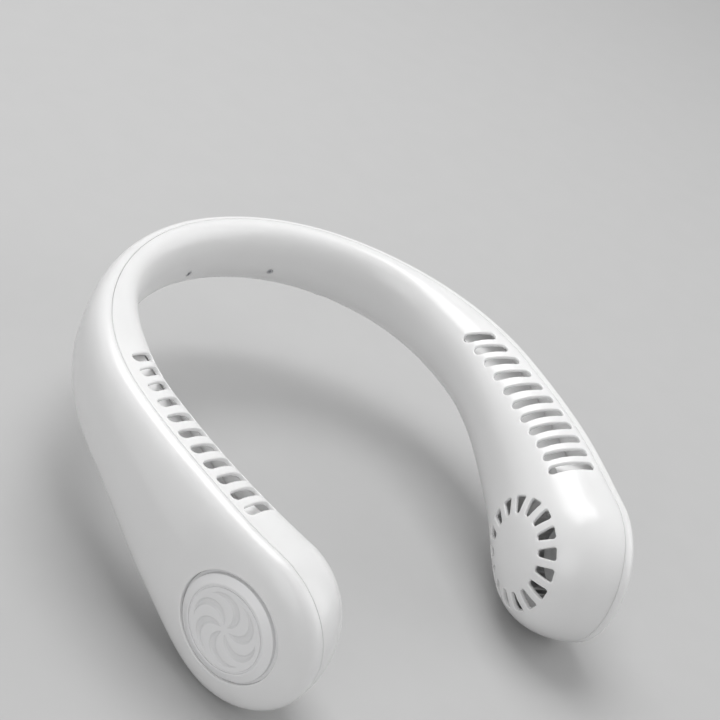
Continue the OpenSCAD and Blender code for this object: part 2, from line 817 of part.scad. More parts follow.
module shaft_bearings(side) {
    color("goldenrod")
        in_head(side)
            for (z = [tube_end, plate_under - bearing_length])
                translate([0, 0, z])
                    ring_wall(bearing_radius, shaft_radius + shaft_clearance, bearing_length);
}
shaft_end_gap = 0.3;
shaft_top = floor_under - plate_thickness / 2 - shaft_end_gap;
hub_bottom = rotor_bottom - impeller_wall;
module motor_shaft(side) {
    color("lightgray")
        in_head(side)
            translate([0, 0, hub_bottom])
                cylinder(r = shaft_radius, h = shaft_top - hub_bottom, $fn = 32);
}
module rotor_cup(side) {
    color("dimgray")
        in_head(side)
            difference() {
                translate([0, 0, rotor_bottom])
                    cylinder(r = rotor_radius, h = rotor_height, $fn = 64);
                translate([0, 0, rotor_bottom + rotor_wall])
                    cylinder(r = rotor_radius - rotor_wall, h = rotor_height, $fn = 64);
                translate([0, 0, rotor_bottom - overrun])
                    cylinder(r = shaft_radius, h = rotor_wall + 2 * overrun, $fn = 32);
            }
}
magnet_inset = 0.4;
module ring_magnet(side) {
    color("black")
        in_head(side)
            translate([0, 0, rotor_top - magnet_inset - magnet_height])
                ring_wall(rotor_radius - rotor_wall, stator_radius + air_gap, magnet_height);
}

// IMPELLER: a hub over the rotor cup, a back plate and a cage of forward-curved blades
hub_radius = rotor_radius + impeller_wall;
blade_points = 5;
blade_lean = 24;
blade_turn = full_turn / blade_count;
function blade_edge(k, edge) =
    let (
        share = k / blade_points,
        r = between(blade_inner_radius, impeller_radius - tie_ring / 2, share),
        a = blade_lean * share * share,
        spread = edge * blade_thickness / 2 / r * arc_degrees
    )
    r * [cos(a + spread), sin(a + spread)];
module blade() {
    polygon(concat(
        [for (k = [0 : blade_points]) blade_edge(k, -1)],
        [for (k = [blade_points : -1 : 0]) blade_edge(k, 1)]
    ));
}
module impeller(side) {
    color("lightgray")
        in_head(side) {
            difference() {
                union() {
                    translate([0, 0, hub_bottom])
                        cylinder(r = hub_radius, h = blade_top - hub_bottom, $fn = 64);
                    translate([0, 0, blade_top - impeller_wall])
                        cylinder(r = impeller_radius, h = impeller_wall, $fn = 64);
                }
                translate([0, 0, rotor_bottom])
                    cylinder(r = rotor_radius, h = blade_top - rotor_bottom + overrun, $fn = 64);
                translate([0, 0, hub_bottom - overrun])
                    cylinder(r = shaft_radius, h = impeller_wall + 2 * overrun, $fn = 32);
            }
            translate([0, 0, blade_bottom])
                linear_extrude(impeller_height - impeller_wall / 2)
                    for (k = [0 : blade_count - 1])
                        rotate(k * blade_turn)
                            blade();
            translate([0, 0, blade_bottom])
                ring_wall(impeller_radius, impeller_radius - tie_ring, tie_ring);
        }
}

// FAN HOUSING: a spiral wall that opens into the arm, closed by a cover under the recess floor
volute_angle = 300;
volute_steps = 30;
cover_gap = 0.3;
outlet_low = volute_start * sin(90 - volute_angle);
function spiral(k, grow) =
    let (
        from = -180 - asin((outlet_low - grow) / (volute_start + grow)),
        a = between(from, 90, k / volute_steps),
        r = between(volute_start, volute_end, 1 - (90 - a) / volute_angle) + grow
    )
    r * [cos(a), -sin(a)];
module volute_outline(grow, reach) {
    polygon(concat(
        [for (k = [0 : volute_steps]) spiral(k, grow)],
        [[-reach, -volute_end - grow], [-reach, -outlet_low + grow]]
    ));
}
module fan_housing(side) {
    color("gainsboro")
        in_head(side)
            difference() {
                translate([0, 0, housing_bottom])
                    linear_extrude(cover_under - housing_bottom)
                        volute_outline(housing_wall, outlet_reach);
                translate([0, 0, housing_inside])
                    linear_extrude(cover_under - housing_inside + overrun)
                        volute_outline(0, outlet_reach + overrun);
                translate([0, 0, housing_bottom - overrun])
                    cylinder(r = inlet_radius, h = housing_wall + 2 * overrun, $fn = 72);
            }
}
module housing_cover(side) {
    color("gainsboro")
        in_head(side)
            difference() {
                translate([0, 0, cover_under])
                    linear_extrude(housing_wall)
                        volute_outline(housing_wall, outlet_reach);
                translate([0, 0, cover_under - overrun])
                    cylinder(r = plate_radius + cover_gap, h = housing_wall + 2 * overrun, $fn = 72);
            }
}
module plate_screws(side) {
    color("silver")
        in_head(side)
            for (a = plate_screw_angles)
                rotate([0, 0, a])
                    translate([plate_screw_circle_radius, 0, 0]) {
                        translate([0, 0, plate_under])
                            cylinder(r = plate_screw_radius, h = floor_top - plate_under, $fn = 24);
                        translate([0, 0, floor_top])
                            cylinder(r = plate_screw_head_radius, h = plate_screw_head, $fn = 24);
                    }
}

// BATTERIES, DUCT BULKHEADS AND WIRES
battery_offset = -1.5;
battery_lift = 1.65;
battery_round = 1.5;
module battery(side) {
    corner = battery_height / 2 - battery_round;
    color("lightslategray")
        on_band(side, battery_place)
            translate([0, battery_offset, middle_z(battery_place) + battery_lift])
                rotate([0, 90, 0])
                    linear_extrude(battery_length, center = true) {
                        square([2 * corner, battery_thickness], center = true);
                        square([battery_height, battery_thickness - 2 * battery_round], center = true);
                        for (x = [-corner, corner])
                            for (y = [-1, 1])
                                translate([x, y * (battery_thickness / 2 - battery_round)])
                                    circle(r = battery_round, $fn = 24);
                    }
}
wire_count = 3;
wire_seat_gap = 1;
wire_offset = -1.2;
wire_side_gap = 0.1;
wire_z = middle_z(0) - neck_half_height + wall + wire_radius + wire_seat_gap;
wire_pitch = 2 * wire_radius + wire_side_gap;
bulkhead_gap = 0.35;
bulkhead_points = 24;
notch_gap = 0.3;
notch_half_width = wire_count * wire_pitch / 2 + notch_gap;
notch_top = wire_z + wire_radius + notch_gap;
function bulkhead_edge(face, k) =
    let (
        c = column_share(face, k, bulkhead_points),
        inset = wall + bulkhead_gap
    )
    [
        face * (bulge(face, bulkhead_place) - inset) * dome(face, abs(c)),
        middle_z(bulkhead_place) + c * (half_height(bulkhead_place) - inset)
    ];
module bulkhead(side) {
    color("gainsboro")
        on_band(side, bulkhead_place)
            rotate([90, 0, 90])
                translate([0, 0, -bulkhead_thickness / 2])
                    linear_extrude(bulkhead_thickness)
                        difference() {
                            polygon(concat(
                                [for (k = [0 : bulkhead_points - 1]) bulkhead_edge(right, k)],
                                [for (k = [bulkhead_points : -1 : 1]) bulkhead_edge(left, k)]
                            ));
                            translate([wire_offset - notch_half_width, bulkhead_edge(right, 0).y])
                                square([2 * notch_half_width, notch_top - bulkhead_edge(right, 0).y]);
                        }
}
// A round wire along one arc of the centre line, between two headings
module wire_arc(centre, radius, from, to) {
    translate([centre.x, centre.y, wire_z])
        rotate([0, 0, 90 - to])
            rotate_extrude(angle = to - from, $fn = 96)
                translate([radius, 0])
                    circle(r = wire_radius, $fn = 16);
}
wire_end = arm_length - outlet_reach - wall;
wire_lead = 0.5;
board_start = board_place - board_length / 2 - wire_lead;
board_end = board_place + board_length / 2 + wire_lead;
clip_length = 2;
clip_wall = 0.2;
function wire_place(k) = wire_offset + (k - (wire_count - 1) / 2) * wire_pitch;
// The clips hold the wires side by side where the centre line changes its curve
module wire_clip(s) {
    p = line_point(s);
    width = wire_count * wire_pitch - wire_side_gap + 2 * clip_wall;
    height = 2 * (wire_radius + clip_wall);
    translate([p.x, p.y, wire_z])
        rotate([0, 0, -heading(s)])
            translate([0, wire_offset, 0])
                cube([clip_length, width, height], center = true);
}
// AIR GUIDE: a ramp over the wires that lifts the air from the fan housing's outlet to the slots
guide_thickness = 1;
guide_gap = 0.6;
guide_steps = 7;
guide_low = wire_z + wire_radius + notch_gap;
guide_near = wire_end;
guide_far = bulkhead_place + bulkhead_thickness / 2 + bulkhead_gap;
function guide_s(k) = between(guide_far, guide_near, k / guide_steps);
function guide_z(k) = guide_low + guide_rise * (1 - k / guide_steps);
function guide_edge(face, k, z) =
    let (
        s = guide_s(k),
        low = abs(guide_z(k) - middle_z(s)),
        high = abs(guide_z(k) + guide_thickness - middle_z(s)),
        n = (bulge(face, s) - wall) * dome(face, max(low, high) / (half_height(s) - wall)) - guide_gap
    )
    band_point(s, face * n, z);
module air_guide(side) {
    color("gainsboro")
        translate(lift)
            mirror([side < 0 ? 1 : 0, 0, 0])
                polyhedron(
                    points = [for (k = [0 : guide_steps]) each [
                        guide_edge(right, k, guide_z(k)),
                        guide_edge(right, k, guide_z(k) + guide_thickness),
                        guide_edge(left, k, guide_z(k) + guide_thickness),
                        guide_edge(left, k, guide_z(k))
                    ]],
                    faces = concat(
                        [[0, 1, 2, 3]],
                        [for (k = [0 : guide_steps - 1]) for (j = [0 : 3])
                            let (
                                a = 4 * k + j,
                                b = 4 * k + (j + 1) % 4
                            )
                            each [[a, b + 4, b], [a, a + 4, b + 4]]],
                        [[for (j = [3 : -1 : 0]) 4 * guide_steps + j]]
                    )
                );
}

module arm_wires() {
    for (k = [0 : wire_count - 1]) {
        offset = wire_place(k);
        wire_arc(shoulder_centre, shoulder_radius + offset, neck_angle, arm_angle);
        wire_arc(arm_centre, arm_radius + offset, arm_angle, heading(wire_end));
    }
    wire_clip(neck_end);
    wire_clip(shoulder_end);
}
module neck_wires(from, to) {
    for (k = [0 : wire_count - 1])
        wire_arc(neck_centre, neck_radius + wire_place(k), from, to);
}
module motor_wires(side) {
    color("firebrick")
        translate(lift)
            if (side > 0) {
                arm_wires();
                neck_wires(heading(board_end), neck_angle);
            } else {
                mirror([1, 0, 0])
                    arm_wires();
                neck_wires(-neck_angle, heading(board_start));
            }
}

// MAIN BOARD
module main_board() {
    color("darkgreen")
        on_band(right, board_place)
            translate([-board_length / 2, board_under, board_low])
                cube([board_length, board_thickness, board_high - board_low]);
}
chip_thickness = 0.9;
chip_widths = [5, 3.4, 3];
chip_heights = [2.6, 1.6, 3.4];
chip_side_shares = [-1, 0, 1];
chip_gap = 0.4;
coil_radius = 2;
coil_height = 1.6;
coil_drop = 5.4;
// Reach along the board from its middle to a piece of a half width that stands beside a post
function beside_post(half_width) =
    board_length / 2 - board_post_inset - board_post_radius - chip_gap - half_width;
connector_size = [3, 1.6, 3.8];
connector_drop = 4.5;
module board_components() {
    color("black")
        on_band(right, board_place) {
            for (k = [0 : len(chip_widths) - 1])
                translate([
                    chip_side_shares[k] * beside_post(chip_widths[k] / 2) - chip_widths[k] / 2,
                    board_under - chip_thickness,
                    controls_z + chip_heights[k] - chip_widths[k] / 2])
                    cube([chip_widths[k], chip_thickness, chip_widths[k]]);
            translate([-beside_post(coil_radius), board_under, controls_z - coil_drop])
                rotate([90, 0, 0])
                    cylinder(r = coil_radius, h = coil_height, $fn = 32);
            for (x = [-board_length / 2, board_length / 2 - connector_size.x])
                translate([x, board_under - connector_size.y, controls_z - connector_drop])
                    cube(connector_size);
        }
}
module usb_c_socket() {
    color("silver")
        at_socket() {
            difference() {
                linear_extrude(socket_depth)
                    socket_outline(0);
                translate([0, 0, -overrun])
                    linear_extrude(socket_depth - socket_wall + overrun)
                        socket_outline(-socket_wall);
            }
            translate([-contact_size.x / 2, -contact_size.y / 2, socket_depth - contact_size.z - socket_wall])
                cube([contact_size.x, contact_size.y, contact_size.z + socket_wall / 2]);
        }
}
module switch_body() {
    color("dimgray")
        at_button()
            difference() {
                translate([-switch_size / 2, -switch_size / 2, board_offset])
                    cube([switch_size, switch_size, switch_height]);
                translate([0, 0, switch_top - plunger_depth - button_travel])
                    cylinder(r = plunger_radius + plunger_gap,
                        h = plunger_depth + button_travel + overrun, $fn = 32);
            }
}
module switch_plunger() {
    color("ivory")
        at_button()
            translate([0, 0, switch_top - plunger_depth + plunger_gap])
                cylinder(r = plunger_radius, h = plunger_depth + plunger_rise - plunger_gap, $fn = 32);
}
module power_button() {
    stem_end = switch_top + plunger_rise;
    color("white")
        at_button()
            rotate_extrude($fn = 64)
                polygon([
                    [0, stem_end], [stem_radius, stem_end],
                    [stem_radius, flange_top - flange_thickness],
                    [button_radius + flange_width, flange_top - flange_thickness],
                    [button_radius + flange_width, flange_top],
                    [button_radius, flange_top],
                    [button_radius, button_top - button_round],
                    [button_radius - button_round, button_top],
                    [0, button_top]
                ]);
}
light_top = outer_bulge(light_place);
light_bar_top = light_top - wall - light_bar_thickness / 2;
module light_pipe() {
    bar = (light_count - 1) * light_pitch + 2 * light_bar_margin;
    color("azure") {
        at_lights(light_place)
            translate([0, 0, light_bar_top - light_bar_thickness / 2])
                cylinder(r = light_radius, h = light_top - light_bar_top + light_bar_thickness / 2, $fn = 24);
        on_band(right, light_place)
            translate([-bar / 2, light_bar_top - light_bar_thickness, controls_z - light_bar_margin])
                cube([bar, light_bar_thickness, 2 * light_bar_margin]);
    }
}
module indicator_leds() {
    color("lightyellow")
        at_lights(board_place)
            translate([-light_chip.x / 2, -light_chip.y / 2, board_offset])
                cube(light_chip);
}
module neck_screws() {
    color("silver")
        for (side = [left, right])
            at_neck_screw(side) {
                translate([0, 0, -neck_face + neck_screw_sink])
                    cylinder(r = neck_screw_head_radius, h = neck_screw_head, $fn = 24);
                translate([0, 0, -neck_face + neck_screw_sink])
                    cylinder(r = neck_screw_radius, h = neck_screw_length, $fn = 24);
            }
}

outer_shell();
inner_shell();
side_disc(left);  // left_side_disc
side_disc(right);  // right_side_disc
motor_plate(left);  // left_motor_plate
motor_plate(right);  // right_motor_plate
motor_board(left);  // left_motor_board
motor_board(right);  // right_motor_board
stator_core(left);  // left_stator_core
stator_core(right);  // right_stator_core
stator_windings(left);  // left_stator_windings
stator_windings(right);  // right_stator_windings
shaft_bearings(left);  // left_shaft_bearings
shaft_bearings(right);  // right_shaft_bearings
motor_shaft(left);  // left_motor_shaft
motor_shaft(right);  // right_motor_shaft
rotor_cup(left);  // left_rotor_cup
rotor_cup(right);  // right_rotor_cup
ring_magnet(left);  // left_ring_magnet
ring_magnet(right);  // right_ring_magnet
impeller(left);  // left_impeller
impeller(right);  // right_impeller
fan_housing(left);  // left_fan_housing
fan_housing(right);  // right_fan_housing
housing_cover(left);  // left_housing_cover
housing_cover(right);  // right_housing_cover
plate_screws(left);  // left_plate_screws
plate_screws(right);  // right_plate_screws
motor_wires(left);  // left_motor_wires
motor_wires(right);  // right_motor_wires
battery(left);  // left_battery
battery(right);  // right_battery
bulkhead(left);  // left_bulkhead
bulkhead(right);  // right_bulkhead
air_guide(left);  // left_air_guide
air_guide(right);  // right_air_guide
main_board();
board_components();
usb_c_socket();
power_button();
switch_plunger();
switch_body();
light_pipe();
indicator_leds();
neck_screws();
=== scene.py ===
# %% [markdown]
# # Dressing a bladeless neck fan
# The CAD model of this neck fan already has every piece at its real size: two moulded shells, the
# caps on the heads, and the motors, impellers, batteries and board inside. Here each visible piece
# gets the smooth surface, the rounded edges and the finish that a moulded product has. The CAD
# stays as it is: a piece that needs a finer surface is drawn again in the same place and stands
# for its node.

# %% Open the CAD model
import math
from collections import Counter

import bmesh
import bpy
import numpy as np
from mathutils import Matrix, Vector
from mathutils.geometry import delaunay_2d_cdt


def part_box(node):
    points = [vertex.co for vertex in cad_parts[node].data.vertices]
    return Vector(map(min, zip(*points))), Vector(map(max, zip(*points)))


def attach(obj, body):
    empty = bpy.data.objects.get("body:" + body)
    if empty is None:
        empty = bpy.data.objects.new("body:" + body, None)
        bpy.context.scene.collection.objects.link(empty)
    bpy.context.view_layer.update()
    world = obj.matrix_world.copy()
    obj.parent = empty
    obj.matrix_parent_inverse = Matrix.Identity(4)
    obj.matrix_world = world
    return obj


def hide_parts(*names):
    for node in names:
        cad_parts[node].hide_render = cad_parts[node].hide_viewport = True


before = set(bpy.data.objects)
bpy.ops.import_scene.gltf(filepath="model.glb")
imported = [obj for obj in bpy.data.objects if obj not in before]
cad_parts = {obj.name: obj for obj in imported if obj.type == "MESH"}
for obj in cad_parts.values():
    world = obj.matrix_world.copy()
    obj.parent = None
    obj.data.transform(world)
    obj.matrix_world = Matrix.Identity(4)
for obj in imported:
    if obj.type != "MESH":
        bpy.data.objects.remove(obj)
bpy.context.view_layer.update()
mm = 0.001

# %% [markdown]
# ## The camera
# The photograph was taken from the wearer's left, a little above, with a long lens. A camera could
# be set with nine numbers of a matrix, but a turn, a height, a tilt and a distance say what was
# done, and each can be changed by itself. The point looked at is where the middle of the picture
# falls.

# %% Place the camera
view_turn = math.radians(49.3)
view_height = math.radians(31.85)
view_tilt = math.radians(27.6)
view_distance = 730 * mm
view_target = Vector((39.0, 38.5, 39.5)) * mm
lens_mm = 92.96
sensor_mm = 36.0


def new_object(name, data):
    """An object in the scene that shows the data."""
    item = bpy.data.objects.new(name, data)
    bpy.context.scene.collection.objects.link(item)
    return item


to_camera = Vector((
    -math.sin(view_turn) * math.cos(view_height),
    -math.cos(view_turn) * math.cos(view_height),
    math.sin(view_height)))
camera_data = bpy.data.cameras.new("camera")
camera_data.lens = lens_mm
camera_data.sensor_width = sensor_mm
camera = new_object("camera", camera_data)
camera.location = view_target + view_distance * to_camera
straight = (-to_camera).to_track_quat("-Z", "Y").to_matrix().to_4x4()
camera.rotation_euler = (straight @ Matrix.Rotation(view_tilt, 4, "Z")).to_euler()
bpy.context.scene.camera = camera
bpy.context.view_layer.update()
print("camera up:", [round(v, 3) for v in camera.matrix_world.to_3x3().col[1]])

# %% [markdown]
# ## Floor and light
# The fan is photographed on a pale ground under a large soft light from above. A floor under the
# lowest point carries the shadow. The main light is a wide panel overhead, a little behind the
# neck band. It stands where the bright areas of the photograph would mirror a lamp, so that the
# upward edges and the top of the right head shine. A pale sky and two weak panels keep the shadows
# open.

# %% Set the stage
floor_reach = 6.0
floor_corners = [(-1, -1), (1, -1), (1, 1), (-1, 1)]
floor_mesh = bpy.data.meshes.new("floor")
floor_mesh.from_pydata(
    [(x * floor_reach, y * floor_reach, 0) for x, y in floor_corners], [], [(0, 1, 2, 3)])
floor = new_object("floor", floor_mesh)

sky_colour = (1.0, 1.0, 1.0, 1.0)
sky_strength = 0.5
sky = bpy.data.worlds.new("sky")
sky.use_nodes = True
background = sky.node_tree.nodes["Background"].inputs
background["Color"].default_value = sky_colour
background["Strength"].default_value = sky_strength
bpy.context.scene.world = sky


def soft_panel(name, direction, distance, size, watts):
    """A square light panel that looks at the fan from a direction, its lengths in metres."""
    data = bpy.data.lights.new(name, "AREA")
    data.shape = "SQUARE"
    data.size = size
    data.energy = watts
    lamp = new_object(name, data)
    direction = Vector(direction).normalized()
    lamp.location = view_target + direction * distance
    lamp.rotation_euler = direction.to_track_quat("Z", "Y").to_euler()


soft_panel("top_panel", (0.02, 0.38, 0.92), distance=1.1, size=0.8, watts=9.9)
soft_panel("front_panel", (-0.9, -0.5, 0.35), distance=1.3, size=0.8, watts=3.5)
soft_panel("side_panel", (0.8, -0.5, 0.45), distance=1.3, size=1.0, watts=4.9)
bpy.context.scene.view_settings.view_transform = "Standard"
print("stage set with a sky of strength", sky_strength, "and three panels")

# %% [markdown]
# ## White moulded plastic
# The shells are injection moulded in white plastic with a satin face. On the real one the tool
# leaves a very fine grain, and the gloss is not quite even. Both are too small to model, so two
# noise patterns do it: a fine one for the grain and a broad one that changes the gloss a little. A
# thin white wall also lets some light wander through it, which brightens the slots' edges and the
# inside. The shells' inside faces are painted lighter still, as painted light for the shade in
# there. Small helpers come first, one for each thing that a pattern can do to a surface: set its
# colour, change its gloss or raise a relief.

# %% Patterns on a surface
def feed(tree, node, sockets):
    """Sets a node's sockets, and links those whose value comes out of another node."""
    for socket, value in sockets.items():
        if isinstance(value, bpy.types.NodeSocket):
            tree.links.new(value, node.inputs[socket])
        else:
            node.inputs[socket].default_value = value


def add_node(tree, kind, output, sockets):
    """One output of a new node, after its sockets are fed."""
    node = tree.nodes.new("ShaderNode" + kind)
    feed(tree, node, sockets)
    return node.outputs[output]


def new_material(name):
    """A material, its tree of nodes and the coordinates of the object it is on."""
    material = bpy.data.materials.new(name)
    material.use_nodes = True
    tree = material.node_tree
    return material, tree, add_node(tree, "TexCoord", "Object", {})


def paint(tree, pattern, low, high, span):
    """A colour that goes from one to another while the pattern goes through its span."""
    ramp = tree.nodes.new("ShaderNodeValToRGB")
    for element, colour, position in zip(ramp.color_ramp.elements, (low, high), span):
        element.position = position
        element.color = (*colour, 1.0)
    feed(tree, ramp, {"Fac": pattern})
    return ramp.outputs["Color"]


def vary_gloss(tree, pattern, roughness, change):
    """A roughness that a pattern moves up and down a little."""
    return add_node(tree, "MapRange", "Result", {
        "Value": pattern, "To Min": roughness - change, "To Max": roughness + change})


def raise_relief(tree, pattern, strength, height):
    """A fine relief that follows a pattern."""
    return add_node(tree, "Bump", "Normal", {
        "Height": pattern, "Strength": strength, "Distance": height})


print("three kinds of pattern: colour, gloss and relief")

# %% Plastic finishes
light_depth = 4.0 * mm  # how far light wanders in a white plastic wall
grain_scale = 1400.0  # spots of the grain in a metre
grain_height = 0.1 * mm
patch_scale = 60.0  # patches of gloss and tone in a metre
gloss_change = 0.03
dark_share = 0.985  # the darker patches against the lighter ones
tone_span = (0.3, 0.7)


def plastic(name, colour, roughness, grain=0.02, seen_through=0.0):
    """A moulded plastic with a fine grain and a slightly uneven gloss."""
    material, tree, place = new_material(name)
    fine = add_node(tree, "TexNoise", "Fac", {
        "Vector": place, "Scale": grain_scale, "Detail": 3.0})
    broad = add_node(tree, "TexNoise", "Fac", {
        "Vector": place, "Scale": patch_scale, "Detail": 2.0})
    darker = [dark_share * part for part in colour]
    sockets = {"Base Color": paint(tree, broad, darker, colour, tone_span),
               "Roughness": vary_gloss(tree, broad, roughness, gloss_change),
               "Normal": raise_relief(tree, fine, grain, grain_height)}
    if seen_through:
        sockets |= {"Subsurface Weight": seen_through, "Subsurface Radius": (1.0, 1.0, 1.0),
                    "Subsurface Scale": light_depth}
    feed(tree, tree.nodes["Principled BSDF"], sockets)
    return material


shell_white = plastic("shell_white", (0.74, 0.74, 0.74), 0.24, seen_through=0.6)
disc_white = plastic("disc_white", (0.73, 0.73, 0.735), 0.32)
# Painted shade: the crescents are the cap's own plastic, painted darker to deepen the shade in their
# shallow scoops
crescent_white = plastic("crescent_white", (0.675, 0.675, 0.680), 0.5)
# Painted light: the shells' inside faces are the same plastic, painted much lighter than the outside
# to brighten the shade inside the band
shell_inside = plastic("shell_inside", (0.95, 0.95, 0.95), 0.5, seen_through=0.6)
key_white = plastic("key_white", (0.82, 0.82, 0.82), 0.28)
floor_pale = plastic("floor_pale", (0.44, 0.44, 0.44), 0.65, grain=0.0)
floor_mesh.materials.append(floor_pale)
print("plastics:", [m.name for m in (
    shell_white, disc_white, crescent_white, shell_inside, key_white, floor_pale)])

# %% [markdown]
# ## Finishes of the inner pieces
# The motors, batteries and board are seen only through the slots and vents, but a part that is
# taken apart shows them. One recipe serves them all: a pattern of patches, bands or cells sets the
# colour and raises a little relief, and a second noise changes the gloss. The pitch of the bands
# is the real one, such as 0.35 mm for the sheets of the stator or 0.3 mm for its wire.

# %% Metals, resins and boards
fine_scale = 350.0  # patches of gloss in a metre, on the small pieces
fine_change = 0.1
relief_strength = 0.6
patch_span = (0.35, 0.65)
wave_radians = 20  # how far the wave texture runs in a metre at scale 1


def finish(name, colour, second, roughness, metallic, pattern, pitch, relief=0.02,
           turn=(0, 0, 0)):
    """A finish whose colour follows a pattern, its pitch and relief in millimetres."""
    material, tree, place = new_material(name)
    turned = add_node(tree, "Mapping", "Vector", {"Vector": place, "Rotation": turn})
    kind, output, values = {
        "patches": ("TexNoise", "Fac", {"Scale": 1 / (pitch * mm), "Detail": 4.0}),
        "cells": ("TexVoronoi", "Distance", {"Scale": 1 / (pitch * mm)}),
        "bands": ("TexWave", "Fac", {"Scale": 2 * math.pi / (wave_radians * pitch * mm),
                                     "Distortion": 0.4})}[pattern]
    height = add_node(tree, kind, output, {"Vector": turned, **values})
    fine = add_node(tree, "TexNoise", "Fac", {"Vector": place, "Scale": fine_scale})
    feed(tree, tree.nodes["Principled BSDF"], {
        "Metallic": metallic,
        "Base Color": paint(tree, height, second, colour, patch_span),
        "Roughness": vary_gloss(tree, fine, roughness, fine_change),
        "Normal": raise_relief(tree, height, relief_strength, relief * mm)})
    return material


# Colour, second colour, roughness, share of metal, pattern, pitch, and relief where it matters
finish_rows = {
    "screw_steel": ((0.62, 0.63, 0.65), (0.5, 0.5, 0.52), 0.3, 1.0, "patches", 0.3),
    "socket_steel": ((0.72, 0.73, 0.75), (0.64, 0.65, 0.67), 0.25, 1.0, "patches", 0.5, 0.01),
    "contact_gold": ((0.85, 0.62, 0.28), (0.78, 0.55, 0.24), 0.25, 1.0, "patches", 0.4, 0.01),
    "chip_black": ((0.035, 0.035, 0.04), (0.02, 0.02, 0.022), 0.6, 0.0, "patches", 0.15),
    "clear_plastic": ((0.86, 0.88, 0.9), (0.8, 0.83, 0.86), 0.3, 0.0, "patches", 0.6, 0.01),
    # Painted light: the duct and the fan are white plastic, painted lighter than the shell so that the
    # shade behind the slots and vents looks brighter
    "duct_plastic": ((0.94, 0.94, 0.94), (0.92, 0.92, 0.92), 0.55, 0.0, "patches", 0.5),
    "fan_plastic": ((0.94, 0.94, 0.94), (0.92, 0.92, 0.92), 0.5, 0.0, "patches", 0.4),
    "motor_plastic": ((0.85, 0.85, 0.85), (0.82, 0.82, 0.82), 0.55, 0.0, "patches", 0.5),
    "circuit_board": ((0.05, 0.24, 0.12), (0.02, 0.13, 0.07), 0.35, 0.0, "cells", 1.3),
    "switch_plastic": ((0.1, 0.1, 0.11), (0.07, 0.07, 0.08), 0.5, 0.0, "patches", 0.2),
    "led_resin": ((0.86, 0.82, 0.6), (0.78, 0.73, 0.5), 0.3, 0.0, "patches", 0.4),
    "wire_jacket": ((0.68, 0.68, 0.69), (0.6, 0.6, 0.61), 0.5, 0.0, "patches", 0.4),
    "battery_foil": ((0.66, 0.68, 0.7), (0.5, 0.52, 0.55), 0.35, 0.8, "patches", 2.5, 0.3),
    "bearing_bronze": ((0.66, 0.5, 0.28), (0.5, 0.37, 0.2), 0.45, 0.9, "cells", 0.12),
    "shaft_steel": ((0.72, 0.73, 0.75), (0.6, 0.61, 0.63), 0.2, 1.0, "patches", 0.2),
    "rotor_steel": ((0.48, 0.49, 0.51), (0.38, 0.39, 0.41), 0.35, 1.0, "patches", 0.8),
    "magnet": ((0.13, 0.13, 0.14), (0.07, 0.07, 0.075), 0.6, 0.0, "patches", 0.1),
}
head_turn = math.radians(17.34)
for side, sign in (("left_", 1), ("right_", -1)):
    turn = (0, 0, -sign * head_turn)
    finish_rows[side + "stator_steel"] = (
        (0.56, 0.57, 0.59), (0.36, 0.37, 0.39), 0.4, 0.9, "bands", 0.35, 0.06, turn)
    finish_rows[side + "copper_wire"] = (
        (0.78, 0.4, 0.2), (0.42, 0.19, 0.08), 0.3, 0.9, "bands", 0.3, 0.15, turn)
finishes = {name: finish(name, *row) for name, row in finish_rows.items()}
clear_tree = finishes["clear_plastic"].node_tree
feed(clear_tree, clear_tree.nodes["Principled BSDF"], {"Transmission Weight": 0.5, "IOR": 1.49})
print(len(finishes), "finishes:", *finishes)

# %% Finishes of the CAD pieces
finish_of = {
    "fan_housing": "duct_plastic", "housing_cover": "duct_plastic", "bulkhead": "duct_plastic",
    "air_guide": "duct_plastic", "impeller": "fan_plastic", "motor_plate": "motor_plastic",
    "motor_board": "circuit_board", "main_board": "circuit_board", "battery": "battery_foil",
    "board_components": "chip_black", "switch_body": "switch_plastic",
    "switch_plunger": "switch_plastic", "indicator_leds": "led_resin",
    "motor_wires": "wire_jacket", "plate_screws": "screw_steel", "motor_shaft": "shaft_steel",
    "shaft_bearings": "bearing_bronze", "rotor_cup": "rotor_steel", "ring_magnet": "magnet",
    "left_stator_core": "left_stator_steel", "right_stator_core": "right_stator_steel",
    "left_stator_windings": "left_copper_wire", "right_stator_windings": "right_copper_wire"}
dressed = 0
for name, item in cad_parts.items():
    plain_name = name.replace("left_", "").replace("right_", "")
    finish_name = finish_of.get(name) or finish_of.get(plain_name)
    if finish_name:
        for place_in_list in item.material_slots:
            place_in_list.material = finishes[finish_name]
        dressed += 1
print(dressed, "of", len(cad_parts), "CAD nodes have an inner finish")

# %% [markdown]
# ## The form of the band
# The band is a loft: a centre line of three arcs in plan, and a section that grows from a thin
# oval at the neck to a deep dome at each head. A designer would drive a surface with a few curves.
# Here the same curves are short formulas, so that any point of the skin can be worked out, and not
# only the ones that a net of patches happens to have.

# %% Curves of the band, in millimetres and radians
neck_radius = 92.0
neck_angle = math.radians(58.8)
shoulder_radius = 81.5
shoulder_angle = math.radians(31.7)
arm_radius = 267.0
arm_length = 218.0
head_drop = 21.5
head_radius = 31.0
neck_half_height = 13.5
outer_bulge_sizes = (4.25, 9.4)
inner_bulge_sizes = (8.0, 30.0)
outer_power = 2.7
inner_power = 2.45
wall = 1.6
height_shares = [0, 0.01, 0.05, 0.12, 0.28, 0.69, 1]
drop_shares = [0, 0.01, 0.08, 0.17, 0.32, 0.67, 1]
outer_bulge_shares = [0, 0.61, 1]
inner_bulge_shares = [0, 0.01, 0.07, 0.42, 0.61, 0.79, 1]
outer_face = 1
inner_face = -1

neck_end = neck_radius * neck_angle
shoulder_end = neck_end + shoulder_radius * shoulder_angle
arm_angle = neck_angle + shoulder_angle
lift_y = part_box("outer_shell")[1][1] / mm - outer_bulge_sizes[0]
lift_z = head_radius + head_drop


